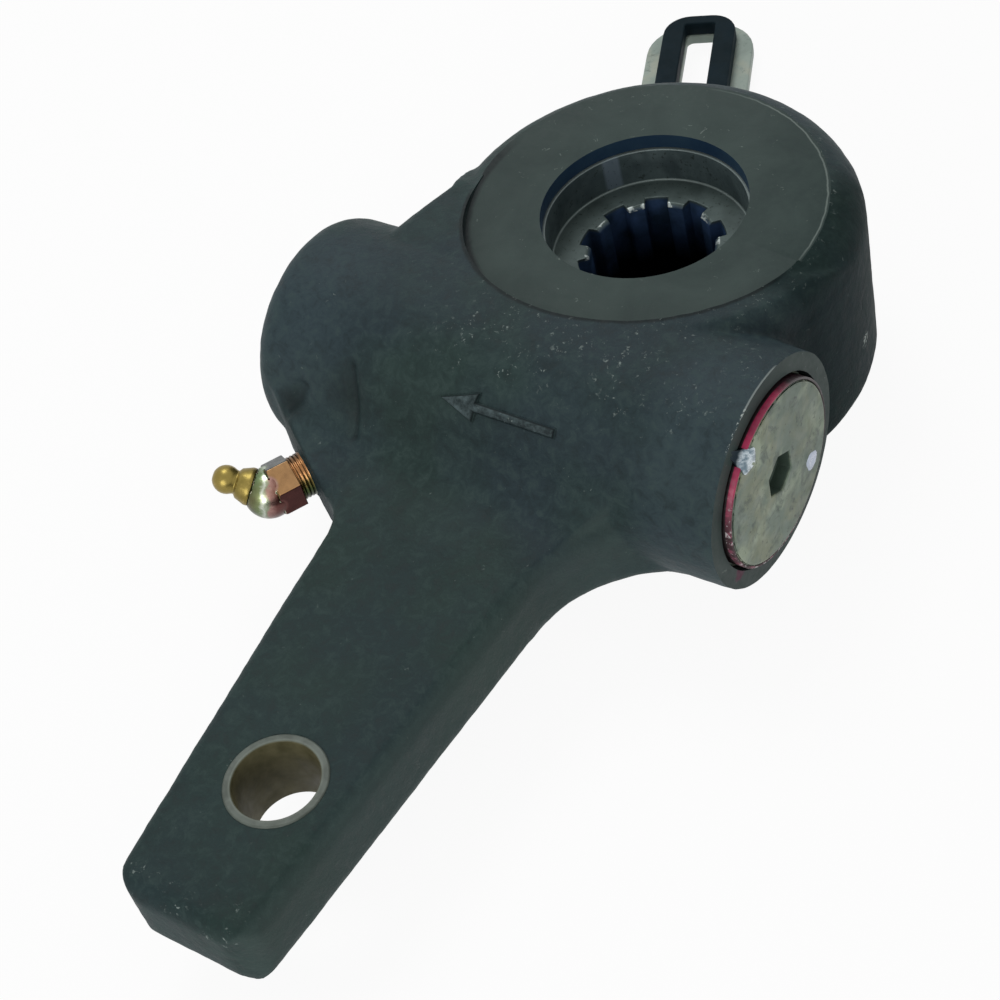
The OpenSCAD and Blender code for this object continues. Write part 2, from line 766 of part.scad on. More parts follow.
module lower_cover() {
    color([0.6, 0.62, 0.58]) translate([0, 0, plate_bottom]) difference() {
        ring(plate_r, collar_r + 2 * run_clear, plate_t);
        for (i = [0:screw_count - 1])
            rotate([0, 0, screw_phase + 360 / screw_count * i]) translate([screw_circle_r, 0, 0]) {
                translate([0, 0, -past]) cylinder(r = screw_r + run_clear, h = plate_t + 2 * past);
                translate([0, 0, -eps]) cylinder(r1 = screw_head_r + run_clear, r2 = screw_r + run_clear,
                                                 h = screw_head_r - screw_r);
            }
    }
}

module lower_screws() {
    slot_d = 0.8;
    color([0.55, 0.55, 0.53]) for (i = [0:screw_count - 1])
        rotate([0, 0, screw_phase + 360 / screw_count * i]) translate([screw_circle_r, 0, plate_bottom])
        difference() {
            union() {
                cylinder(r1 = screw_head_r, r2 = screw_r, h = screw_head_r - screw_r);
                translate([0, 0, screw_head_r - screw_r - eps])
                    cylinder(r = screw_r, h = screw_len - screw_head_r + screw_r);
            }
            translate([0, 0, -past]) cylinder(d = 1.3 * screw_r / cos(30), h = slot_d + past, $fn = 6);
        }
}

module lower_gasket() {
    color([0.16, 0.16, 0.15]) translate([0, 0, plate_top]) difference() {
        ring(plate_r, cavity_r + 0.5, gasket_t);
        translate([0, 0, -past]) linear_extrude(height = gasket_t + 2 * past) intersection() {
            circle(r = pocket_r - 2);
            polygon([[0, 0], [2 * pocket_r, -2 * pocket_r * tan(pocket_half_angle)],
                     [2 * pocket_r, 2 * pocket_r * tan(pocket_half_angle)]]);
        }
        for (i = [0:screw_count - 1])
            rotate([0, 0, screw_phase + 360 / screw_count * i]) translate([screw_circle_r, 0, -past])
                cylinder(r = screw_r + run_clear, h = gasket_t + 2 * past);
    }
}

module thrust_ring() {
    color([0.7, 0.56, 0.3]) translate([0, 0, plate_top]) ring(disc_r, ring_in, ring_top - plate_top);
}

module worm_bush() {
    bush_len = tail_wall - 3.5;
    color([0.66, 0.52, 0.28]) on_worm(spring_wall_x - bush_len)
        ring(journal_r + bush_t - run_clear / 2, journal_r + run_clear, bush_len);
}

module worm_seal() {
    lip_t = 3;
    color([0.09, 0.09, 0.09]) on_worm(-boss_tail + 0.3)
        ring(journal_r + bush_t - run_clear / 2, journal_r + run_clear, lip_t);
}

module spring_seat() {
    color([0.5, 0.5, 0.5]) on_worm(spring_wall_x) ring(worm_bore_r - free_gap, journal_r + free_gap, seat_t);
}

module spring_thrust_washer() {
    color([0.5, 0.5, 0.5]) on_worm(thrust_x) ring(worm_bore_r - free_gap, journal_r + free_gap, seat_t);
}

module main_spring() {
    color([0.32, 0.33, 0.35]) on_worm(spring_wall_x + seat_t)
        coil((worm_bore_r - free_gap + journal_r + free_gap) / 2, spring_wire_r,
             thrust_x - spring_wall_x - seat_t, spring_turns);
}

// Body and teeth of the wheel before the spline is cut
module wheel_blank() {
    half = wheel_face_w / 2;
    difference() {
        translate([0, 0, -half]) cylinder(r = wheel_tip_r, h = wheel_face_w);
        for (i = [0:wheel_teeth - 1])
            rotate([0, 0, 360 / wheel_teeth * i]) tooth_space();
    }
    cylinder(r = hub_r, h = hub_top);
    translate([0, 0, disc_top + free_gap]) cylinder(r = shoulder_ring_r, h = -disc_top);
    translate([0, 0, sleeve_bottom]) cylinder(r = sleeve_r, h = -sleeve_bottom);
}

// Space between two wheel teeth, at -Y, leaning with the worm's lead
module tooth_space() {
    half_at = function(r)
        thread_pitch / 4 + (r - wheel_pitch_r) * tan(pressure_angle) * 1.05;
    outer_r = wheel_tip_r + past;
    rotate([90, 0, 0]) rotate([0, 0, -lead_angle])
        translate([0, 0, wheel_root_r]) rotate([90, 0, 0])
            linear_extrude(height = 2 * wheel_face_w, center = true)
                polygon([[-half_at(wheel_root_r), 0], [half_at(wheel_root_r), 0],
                         [half_at(outer_r), outer_r - wheel_root_r],
                         [-half_at(outer_r), outer_r - wheel_root_r]]);
}

// Splined hole, with the counterbore above it
module spline_cut() {
    depth = hub_top - sleeve_bottom;
    translate([0, 0, sleeve_bottom - past]) linear_extrude(height = depth + 2 * past) union() {
        circle(d = spline_minor_d);
        intersection() {
            circle(r = spline_r);
            for (i = [0:spline_grooves - 1])
                rotate([0, 0, spline_phase + 360 / spline_grooves * i])
                    translate([0, -spline_groove_w / 2]) square([spline_major_d, spline_groove_w]);
        }
    }
    translate([0, 0, hub_top - counterbore_depth - spline_lead])
        cylinder(d1 = spline_minor_d, d2 = spline_minor_d + 2 * (spline_lead + eps), h = spline_lead + eps);
    translate([0, 0, hub_top - counterbore_depth]) cylinder(r = counterbore_r, h = counterbore_depth + past);
}

// Groove for a seal round the wheel
module seal_groove(r, z) {
    translate([0, 0, z]) ring(r + past, r - seal_depth, seal_h);
}

module worm_wheel() {
    color([0.22, 0.25, 0.27]) difference() {
        wheel_blank();
        spline_cut();
        seal_groove(hub_r, upper_seal_z);
        seal_groove(sleeve_r, lower_seal_z);
    }
}

module wheel_seal_upper() {
    color([0.08, 0.08, 0.08]) translate([0, 0, upper_seal_z]) ring(hub_r, hub_r - seal_depth, seal_h);
}

module wheel_seal_lower() {
    color([0.08, 0.08, 0.08]) translate([0, 0, lower_seal_z]) ring(sleeve_r, sleeve_r - seal_depth, seal_h);
}

// Teeth of the dog coupling, seen along the worm axis
module dog_ring(phase, play) {
    step = 360 / dog_count;
    half = step / 4 - play;
    for (i = [0:dog_count - 1]) rotate([0, 0, phase + step * i])
        intersection() {
            difference() {
                circle(r = dog_r);
                circle(r = stub_r + 2);
            }
            polygon([[0, 0], [2 * worm_collar_r, -2 * worm_collar_r * tan(half)],
                     [2 * worm_collar_r, 2 * worm_collar_r * tan(half)]]);
        }
}

module worm_screw() {
    color([0.4, 0.42, 0.44]) {
        on_worm(-boss_tail - 0.5 - adjuster_len)
            cylinder(d = adjuster_af / cos(30), h = adjuster_len + eps, $fn = 6);
        on_worm(-boss_tail - 0.5) cylinder(r = journal_r, h = boss_tail + 0.5 - worm_collar_x + eps);
        on_worm(-worm_collar_x) cylinder(r = worm_collar_r, h = worm_collar_x - thread_half + eps);
        on_worm(-thread_half) cylinder(r = worm_root_r, h = thread_len + eps);
        on_worm(0) rotate([0, 0, 90]) worm_thread();
        on_worm(thread_half) cylinder(r = worm_collar_r, h = dog_x - thread_half);
        on_worm(dog_x - eps) linear_extrude(height = dog_h) dog_ring(0, 0.6);
        on_worm(dog_x - eps) cylinder(r = stub_r, h = stub_end_x - dog_x);
    }
}

module clutch_ring() {
    color([0.45, 0.43, 0.38]) difference() {
        union() {
            on_worm(clutch_x - dog_h) linear_extrude(height = dog_h + eps) dog_ring(180 / dog_count, 0.6);
            on_worm(clutch_x) cylinder(r = clutch_r, h = clutch_face_t);
            on_worm(clutch_x) cylinder(r = clutch_hub_r, h = clutch_end_x - clutch_x);
        }
        on_worm(clutch_x - dog_h - past) cylinder(r = stub_r + run_clear, h = clutch_end_x);
    }
}

module clutch_spring() {
    length = pinion_x - free_gap - clutch_x - clutch_face_t - free_gap;
    color([0.3, 0.31, 0.33]) on_worm(clutch_x + clutch_face_t + free_gap)
        coil(wrap_r, wrap_wire_r, length, wrap_turns);
}

// Outline of the pinion, with a space between teeth at +X of the drawing
module pinion_outline() {
    pitch_half = rack_pitch / 4 - 0.15;
    tip_half = rack_pitch / 4 - 1.35 * rack_module * tan(pressure_angle) - 0.1;
    base_half = pitch_half + 0.75 * rack_module * tan(pressure_angle);
    circle(r = pinion_root_r);
    for (i = [0:pinion_teeth - 1]) rotate([0, 0, 360 / pinion_teeth * (i + 0.5)])
        polygon([[pinion_root_r - 0.8, -base_half], [pinion_root_r + 0.5, -base_half],
                 [pinion_pitch_r, -pitch_half],
                 [pinion_tip_r, -tip_half], [pinion_tip_r, tip_half], [pinion_pitch_r, pitch_half],
                 [pinion_root_r + 0.5, base_half], [pinion_root_r - 0.8, base_half]]);
}

module pinion() {
    color([0.45, 0.43, 0.38]) difference() {
        union() {
            on_worm(pinion_hub_x) cylinder(r = clutch_hub_r, h = pinion_end_x - pinion_hub_x);
            on_worm(pinion_x) linear_extrude(height = pinion_w) pinion_outline();
        }
        on_worm(pinion_hub_x - past)
            cylinder(r = stub_r + run_clear, h = pinion_end_x - pinion_hub_x + 2 * past);
    }
}

module pinion_washer() {
    color([0.5, 0.5, 0.5]) on_worm(washer_x) ring(pinion_tip_r, stub_r + run_clear, washer_t);
}

// One tooth of the rack, in section, with its middle at 0
module rack_tooth() {
    play = 0.15;
    half = rack_pitch / 4 - play;
    up = rack_module * 0.9;
    down = 1.25 * rack_module;
    polygon([[-half - down * tan(pressure_angle), -down - eps],
             [half + down * tan(pressure_angle), -down - eps],
             [half - up * tan(pressure_angle), up], [-half + up * tan(pressure_angle), up]]);
}

module rack() {
    first = ceil((rack_end + rack_mesh / 2 - worm_y) / rack_pitch);
    last = floor((rack_down + rack_mesh) / rack_pitch);
    back = -pinion_pitch_r - 1.25 * rack_module;
    color([0.42, 0.43, 0.45]) {
        translate([rack_x - rack_w / 2, rack_end, rack_floor])
            cube([rack_w, rack_head - rack_end, back - rack_floor]);
        translate([rack_x, 0, -pinion_pitch_r]) rotate([90, 0, 90])
            linear_extrude(height = rack_w, center = true)
                for (i = [first:last]) translate([worm_y + rack_pitch * i, 0]) rack_tooth();
        translate([rack_x, peg_y, disc_bottom]) cylinder(r = peg_r, h = rack_floor - disc_bottom + eps);
    }
}

module control_disc() {
    slot_half = peg_r + peg_gap;
    slot_in = disc_r - 0.8;
    neck_h = control_top - neck_bottom + eps;
    color([0.5, 0.5, 0.48]) difference() {
        union() {
            translate([0, 0, disc_bottom]) cylinder(r = disc_r, h = disc_t);
            // Ear that drives the rack's peg
            intersection() {
                translate([0, 0, disc_bottom]) cylinder(r = ear_r, h = disc_t);
                rotate([0, 0, peg_angle]) translate([0, -ear_half_w, disc_bottom - past])
                    cube([2 * ear_r, 2 * ear_half_w, disc_t + 2 * past]);
            }
            translate([0, 0, control_top]) cylinder(r = collar_r, h = disc_bottom - control_top + eps);
            intersection() {
                translate([0, 0, neck_bottom]) cylinder(r = neck_r, h = neck_h);
                translate([0, 0, neck_bottom]) cube([2 * neck_flat, 4 * neck_r, 2 * neck_h], center = true);
            }
        }
        translate([0, 0, neck_bottom - past]) cylinder(r = collar_in, h = disc_top - neck_bottom + 2 * past);
        rotate([0, 0, peg_angle]) translate([slot_in, -slot_half, disc_bottom - past])
            cube([2 * ear_r, 2 * slot_half, disc_t + 2 * past]);
        translate([0, 0, clip_bottom - 0.05]) ring(neck_r + past, groove_r, clip_t + 0.05);
    }
}

// Straight slot with rounded ends along +X, from x0 to x1
module oblong(x0, x1, w, corner) {
    polygon(concat(
        arc([x1 - corner, w / 2 - corner], corner, 90, 0),
        arc([x1 - corner, corner - w / 2], corner, 0, -90),
        arc([x0 + corner, corner - w / 2], corner, 270, 180),
        arc([x0 + corner, w / 2 - corner], corner, 180, 90)));
}

// Middle of the fillet of radius r between the control arm's eye and one side of the arm
function eye_fillet(side, r) =
    let (y = control_offset + side * (control_w / 2 + r))
    [sqrt(pow(eye_r + r, 2) - y * y), y];

// Outline of the control arm: its eye, two fillets and the offset arm with a rounded tip
module control_outline() {
    web_r = 18;
    left = eye_fillet(1, web_r);
    right = eye_fillet(-1, web_r);
    left_touch = atan2(left[1], left[0]);
    right_touch = atan2(right[1], right[0]);
    tip_x = control_reach - control_corner;
    tip_half = control_w / 2 - control_corner;
    polygon(concat(
        arc([0, 0], eye_r, left_touch, 360 + right_touch, 40),
        arc(right, web_r, 180 + right_touch, 90, 6),
        arc([tip_x, control_offset - tip_half], control_corner, -90, 0),
        arc([tip_x, control_offset + tip_half], control_corner, 0, 90),
        arc(left, web_r, 270, 180 + left_touch, 6)));
}

module control_arm() {
    color([0.6, 0.65, 0.6]) translate([0, 0, control_bottom]) linear_extrude(height = control_t)
    difference() {
        rotate([0, 0, control_angle]) difference() {
            control_outline();
            translate([0, control_offset]) oblong(slot_near, slot_far, slot_w, slot_corner);
        }
        // Eye keyed to the flats of the disc's neck
        intersection() {
            circle(r = neck_r + run_clear);
            square([2 * (neck_flat + run_clear), 4 * neck_r], center = true);
        }
    }
}

module slot_liner() {
    color([0.17, 0.21, 0.23]) translate([0, 0, control_top]) rotate([0, 0, control_angle])
        translate([0, control_offset, 0]) linear_extrude(height = liner_t) difference() {
            oblong(slot_near - liner_end_wall, liner_tip, liner_w, liner_corner);
            oblong(slot_near, slot_far, slot_w, slot_corner / 2);
        }
}

module retaining_ring() {
    gap_w = 8;
    color([0.3, 0.31, 0.32]) translate([0, 0, clip_bottom]) difference() {
        ring(neck_r + 3, groove_r + run_clear / 2, clip_t - 0.05);
        rotate([0, 0, control_angle + 180]) translate([0, -gap_w / 2, -past])
            cube([2 * neck_r, gap_w, clip_t + 2 * past]);
    }
}

housing();
clevis_bush();
end_cover();
cover_seal();
nipple_base();
nipple_head();
lower_cover();
lower_screws();
lower_gasket();
thrust_ring();
worm_bush();
worm_seal();
main_spring();
spring_seat();
spring_thrust_washer();
worm_wheel();
wheel_seal_upper();
wheel_seal_lower();
worm_screw();
clutch_ring();
pinion_washer();
pinion();
clutch_spring();
rack();
control_disc();
control_arm();
slot_liner();
retaining_ring();
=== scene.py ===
import math

import bmesh
import bpy
import numpy as np
from mathutils import Matrix, Vector, noise


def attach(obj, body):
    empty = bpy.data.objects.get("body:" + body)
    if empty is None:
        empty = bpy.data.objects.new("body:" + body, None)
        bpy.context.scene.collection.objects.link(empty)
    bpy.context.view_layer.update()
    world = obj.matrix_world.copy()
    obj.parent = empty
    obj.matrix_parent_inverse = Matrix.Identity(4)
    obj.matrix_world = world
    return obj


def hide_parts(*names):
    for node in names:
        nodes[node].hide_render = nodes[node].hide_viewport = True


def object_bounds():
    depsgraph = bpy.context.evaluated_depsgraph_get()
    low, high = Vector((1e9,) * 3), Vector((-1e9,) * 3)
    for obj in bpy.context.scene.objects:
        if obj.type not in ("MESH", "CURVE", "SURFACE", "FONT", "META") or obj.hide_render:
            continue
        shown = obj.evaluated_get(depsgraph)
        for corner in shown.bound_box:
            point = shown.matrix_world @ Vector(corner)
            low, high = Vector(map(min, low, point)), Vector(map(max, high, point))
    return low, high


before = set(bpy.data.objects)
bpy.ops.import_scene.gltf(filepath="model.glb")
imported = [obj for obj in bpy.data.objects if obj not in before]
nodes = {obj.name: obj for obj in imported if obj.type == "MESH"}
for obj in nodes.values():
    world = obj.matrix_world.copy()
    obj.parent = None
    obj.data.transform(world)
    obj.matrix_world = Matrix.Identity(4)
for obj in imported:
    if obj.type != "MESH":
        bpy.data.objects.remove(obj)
cad_box = [list(corner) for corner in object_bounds()]
scene = bpy.context.scene
scene.view_settings.view_transform = "Standard"

MM = 0.001
# Sizes that repeat those of the solids, in millimetres
WORM_Y = -47.5
HEAD_TOP = 25.0
HEAD_BOTTOM = -29.0
RING_R = 45.5
FRONT_Y = -8.6
BOSS_R = 30.0
BOSS_REACH = 58.1
BOSS_TAIL = 75.0
COVER_FACE = 60.2
HUB_TOP = 20.7
SPLINE_TOP = 10.5
PIN_Y = -170.0
PAD_POINT = Vector((-54.32, -87.55, -8.0))
PAD_NORMAL = Vector((-0.5, -0.8660254, 0.0))
NIPPLE_ELBOW = 10.2
# Radii that fill each bore of the casting, and that cut it open again
LOWER_FILL_R, LOWER_CUT_R = 48.6, 49.6
WORM_FILL_R, WORM_CUT_R = 25.0, 24.6
COVER_FILL_R = 28.9
TAIL_FILL_R, TAIL_CUT_R = 10.3, 10.2
EYE_FILL_R, EYE_CUT_R = 12.5, 12.45
NIPPLE_FILL_R, NIPPLE_CUT_R = 6.2, 6.15
# Arrow on the boss: its outline along the worm and round it, its middle round the boss, and the
# radius and inset of each step up its wall
ARROW = [(-16.2, 0), (-6.0, 3.5), (-6.6, 1.1), (15.6, 1.05), (15.6, -1.05), (-6.6, -1.1), (-6.9, -3.6)]
ARROW_MIDDLE = -26.5
ARROW_STEPS = [(28.5, -0.35), (30.2, -0.25), (30.85, 0.15), (31.1, 0.5)]
# Grid and smoothing of the casting's skin, the height and size of its bumps, and how far it is lifted
SKIN_GRID = 0.7
SKIN_PASSES = 9
SKIN_BUMPS = [(0.16, 19), (0.09, 6.2), (0.07, 2.4)]
SKIN_LIFT = 0.12
# Share of plain white on the floor and the world, and the world's own light
FLOOR_WHITE = 0.93
WORLD_WHITE = 0.62
WORLD_LIGHT = 0.38
# Reach of the floor and its gap below the part, in metres
FLOOR_REACH = 9.0
FLOOR_GAP = 0.0004
# Creases in the casting beside the nipple's pad: depth, width, then points along each
CREASES = [
    (1.6, 1.7, (-43.4, -71.1, 18.7), (-42.0, -74.2, 13.8), (-41.3, -76.5, 9.5), (-40.5, -80.3, 4.8)),
    (1.6, 2.0, (-57.5, -75.6, 10.6), (-58.9, -77.4, 7.6), (-62.0, -80.1, 4.7)),
]


# Colour written as a web colour, turned into linear light
def colour(code):
    levels = [int(code[i : i + 2], 16) / 255 for i in (1, 3, 5)]
    linear = [v / 12.92 if v <= 0.04045 else ((v + 0.055) / 1.055) ** 2.4 for v in levels]
    return (*linear, 1.0)


class Paint:
    """A material built node by node on its principled shader."""

    def __init__(self, name, metallic=0.0, specular=0.5):
        self.material = bpy.data.materials.new(name)
        self.material.use_nodes = True
        self.tree = self.material.node_tree
        self.shader = self.tree.nodes["Principled BSDF"]
        self.shader.inputs["Metallic"].default_value = metallic
        self.shader.inputs["Specular IOR Level"].default_value = specular
        self.place = self.tree.nodes.new("ShaderNodeTexCoord").outputs["Object"]
        self.geometry = self.tree.nodes.new("ShaderNodeNewGeometry")
        self.normal = self.geometry.outputs["Normal"]

    def feed(self, socket, value):
        if isinstance(value, bpy.types.NodeSocket):
            self.tree.links.new(value, socket)
        else:
            socket.default_value = value

    def node(self, kind, inputs, **settings):
        made = self.tree.nodes.new(kind)
        for key, value in settings.items():
            setattr(made, key, value)
        for key, value in inputs.items():
            self.feed(made.inputs[key], value)
        return made

    def noise(self, size_mm, detail=3.0, roughness=0.55, distortion=0.0):
        inputs = {"Vector": self.place, "Scale": 1 / (size_mm * MM), "Detail": detail}
        inputs.update({"Roughness": roughness, "Distortion": distortion})
        return self.node("ShaderNodeTexNoise", inputs).outputs["Fac"]

    def between(self, value, low, high, start=0.0, stop=1.0):
        inputs = {"Value": value, "From Min": low, "From Max": high, "To Min": start, "To Max": stop}
        return self.node("ShaderNodeMapRange", inputs).outputs["Result"]

    def calculate(self, operation, first, second):
        return self.node("ShaderNodeMath", {0: first, 1: second}, operation=operation).outputs["Value"]

    def times(self, first, *others):
        for other in others:
            first = self.calculate("MULTIPLY", first, other)
        return first

    def plus(self, first, second):
        return self.calculate("ADD", first, second)

    def larger(self, first, second):
        return self.calculate("MAXIMUM", first, second)

    def mix(self, amount, first, second):
        made = self.node("ShaderNodeMix", {0: amount, 6: first, 7: second}, data_type="RGBA")
        return made.outputs[2]

    # Colour laid over another, by the amount given
    def over(self, base, amount, code):
        return self.mix(amount, base, colour(code))

    def axis(self, vector, name):
        return self.node("ShaderNodeSeparateXYZ", {"Vector": vector}).outputs[name]

    # Distance in millimetres from a point, along the named axes only
    def distance(self, point_mm, axes="XYZ"):
        total = None
        for name, middle in zip("XYZ", point_mm):
            if name in axes:
                off = self.calculate("SUBTRACT", self.axis(self.place, name), middle * MM)
                square = self.times(off, off)
                total = square if total is None else self.plus(total, square)
        return self.times(self.calculate("SQRT", total, 0.0), 1 / MM)

    # How far a direction turns towards another, from -1 to 1
    def towards(self, vector, direction):
        inputs = {0: vector, 1: tuple(direction)}
        return self.node("ShaderNodeVectorMath", inputs, operation="DOT_PRODUCT").outputs["Value"]

    # Part of the piece between two levels of one axis, in millimetres, with soft ends
    def band(self, name, low, high, soft):
        level = self.axis(self.place, name)
        up = self.between(level, (low - soft) * MM, low * MM)
        down = self.between(level, (high + soft) * MM, high * MM)
        return self.times(up, down)

    def ramp(self, value, stops):
        made = self.node("ShaderNodeValToRGB", {"Fac": value})
        elements = made.color_ramp.elements
        while len(elements) < len(stops):
            elements.new(0.5)
        for element, (place, code) in zip(elements, stops):
            element.position = place
            element.color = colour(code)
        return made.outputs["Color"]

    def finish(self, base, roughness, height=None, strength=0.3, depth_mm=0.1):
        self.feed(self.shader.inputs["Base Color"], base)
        self.feed(self.shader.inputs["Roughness"], roughness)
        if height is not None:
            inputs = {"Height": height, "Strength": strength, "Distance": depth_mm * MM}
            bump = self.node("ShaderNodeBump", inputs)
            self.feed(self.shader.inputs["Normal"], bump.outputs["Normal"])
        return self.material


# Blue and green patches and grain of the casting, painted shade in its hollow folds, and painted light
# that makes the flanks facing along x paler
def casting_colour(paint, pointed, grain):
    patches = paint.between(paint.noise(28, 4), 0.35, 0.65)
    tint = paint.between(paint.noise(38, 3), 0.36, 0.6)
    base = paint.mix(patches, colour("#20302e"), colour("#2c3d3a"))
    base = paint.over(base, paint.times(tint, 0.7), "#26323a")
    arm = paint.band("Y", -210, -108, 16)
    base = paint.over(base, paint.times(arm, 0.4), "#1c302b")
    ends = paint.larger(paint.band("X", -90, -58, 16), paint.band("X", 44, 62, 10))
    ends = paint.times(ends, paint.band("Y", -120, -45, 10))
    base = paint.over(base, paint.times(ends, 0.4), "#3d4c52")
    base = paint.over(base, paint.between(grain, 0.5, 0.0, 0.0, 0.5), "#151f20")
    base = paint.over(base, paint.between(grain, 0.5, 1.0, 0.0, 0.4), "#42524f")
    # Painted shade in the hollows, where the surface is least pointed
    base = paint.over(base, paint.between(pointed, 0.485, 0.44, 0.0, 0.7), "#0f1718")
    # Painted light: faces of the arm turned towards x are paler
    lit_flank = paint.between(paint.towards(paint.normal, (1, 0, 0)), 0.3, 0.8)
    lit_flank = paint.times(lit_flank, paint.band("Y", -210, -74, 5))
    return paint.over(base, paint.times(lit_flank, 0.45), "#485754")


# Painted shade in hollows and creases, on the head's right side and the nipple's pad, and along the lip of
# the casting round the front of the ring
def shade_casting(paint, base):
    # Painted shade in the hollow and the notch beside the nipple's pad
    hollow_shade = paint.between(paint.distance((-44.0, -74.3, 12.5)), 8, 1, 0.0, 0.5)
    notch_shade = paint.between(paint.distance((-60.5, -78.6, 6.3)), 6, 1, 0.0, 0.75)
    base = paint.over(base, paint.larger(hollow_shade, notch_shade), "#0f1819")
    # Painted shade on the head's right side and the nipple's pad, which are also duller
    side = paint.times(paint.band("X", 44, 80, 6), paint.band("Y", -14, 60, 8))
    pad_face = paint.between(paint.towards(paint.normal, PAD_NORMAL), 0.5, 0.9)
    pad = paint.times(paint.between(paint.distance(PAD_POINT), 20, 14), pad_face)
    shaded_and_dull = paint.larger(side, pad)
    base = paint.over(base, paint.times(shaded_and_dull, 0.4), "#101a18")
    paint.feed(paint.shader.inputs["Specular IOR Level"], paint.between(shaded_and_dull, 0, 1, 0.14, 0.04))
    waver = paint.between(paint.noise(3, 3), 0, 1, -0.4, 0.4)
    edge = paint.plus(paint.distance((0, 0, 0), "XY"), waver)
    # Painted shade along the lip of the casting round the front of the ring
    lip_light_and_shade = paint.times(paint.between(edge, RING_R + 1.1, RING_R + 0.5), paint.band("Y", -60, -14, 6))
    lip_light_and_shade = paint.times(lip_light_and_shade, paint.band("Z", HEAD_TOP + 0.6, 34, 0.5))
    return paint.over(base, paint.times(lip_light_and_shade, 0.85), "#0f1718")


# Painted shade on the arrow's wall, and a paler top, partly wear and partly painted highlight: the colour,
# and where the top is
def mark_arrow(paint, base):
    worm_radius = paint.distance((0, WORM_Y, 0), "YZ")
    near = paint.times(paint.band("X", -17, 17, 0.5), paint.band("Y", -80, -62, 0.5))
    near = paint.times(near, paint.band("Z", 12, 26, 0.5))
    # Painted shade on the arrow's wall
    wall = paint.times(near, paint.between(worm_radius, 30.42, 30.5))
    base = paint.over(base, paint.times(wall, 0.8), "#0f1719")
    # Paler top of the arrow: partly wear, partly painted highlight
    wear_and_glint = paint.between(paint.noise(3.2, 4, 0.7), 0.38, 0.62, 0.1, 1.0)
    top = paint.times(near, paint.between(worm_radius, 30.8, 30.95))
    return paint.over(base, paint.times(top, wear_and_glint), "#4d5b5d"), top


# Bright specks, a few on edges and the arrow, many on the boss's crest and the arm's tip
def scatter_specks(paint, base, pointed, arrow_top):
    worn = paint.between(pointed, 0.515, 0.56)
    areas = paint.between(paint.noise(13, 3, 0.6), 0.46, 0.6)
    few = paint.plus(paint.times(areas, 0.4), paint.times(worn, 0.6))
    few = paint.plus(few, paint.times(arrow_top, 0.5))
    spots = paint.between(paint.noise(1.9, 4, 0.75, 0.8), 0.66, 0.71)
    base = paint.over(base, paint.times(spots, few), "#8c9994")
    crest = paint.times(paint.band("Z", 25.5, 31, 2.5), paint.band("X", -16, 50, 14))
    tip = paint.times(paint.band("Y", -209, -201, 4), paint.band("Z", -3.5, 2, 1.5))
    crowded = paint.between(paint.noise(8, 3, 0.6), 0.42, 0.6, 0.05, 0.85)
    many = paint.times(paint.larger(crest, tip), crowded)
    flakes = paint.between(paint.noise(1.6, 4, 0.75, 0.4), 0.61, 0.67)
    return paint.over(base, paint.times(flakes, many), "#84908c")


# Bare edge round the upper side of the boss's covered end, and a scrape on the head's side
def bare_edges(paint, base):
    rim = paint.band("X", BOSS_REACH - 0.35, BOSS_REACH, 0.15)
    left = paint.band("Y", -90, WORM_Y - 4, 4)
    chips = paint.between(paint.noise(0.9, 3, 0.7), 0.5, 0.57)
    bare = paint.times(left, paint.band("Z", 24.2, 28, 0.8), chips)
    bare = paint.larger(bare, paint.times(paint.band("Z", 28.3, 31, 0.5), 0.4))
    scrape = paint.times(paint.between(paint.distance((53.6, 9.5, -12)), 2.6, 0.8), chips)
    bare = paint.larger(paint.times(rim, bare), scrape)
    return paint.over(base, bare, "#b4bdb9")


# Rough dark casting of the housing
def casting_paint():
    paint = Paint("casting")
    pointed = paint.geometry.outputs["Pointiness"]
    grain = paint.between(paint.noise(3.4, 6, 0.75, 0.5), 0.34, 0.66)
    base = casting_colour(paint, pointed, grain)
    base = shade_casting(paint, base)
    base, arrow_top = mark_arrow(paint, base)
    base = scatter_specks(paint, base, pointed, arrow_top)
    base = bare_edges(paint, base)
    roughness = paint.between(grain, 0, 1, 0.5, 0.68)
    height = paint.plus(paint.noise(0.9, 4, 0.65), paint.times(paint.noise(3.4, 4, 0.65), 2.0))
    return paint.finish(base, roughness, height, 0.65, 0.2)


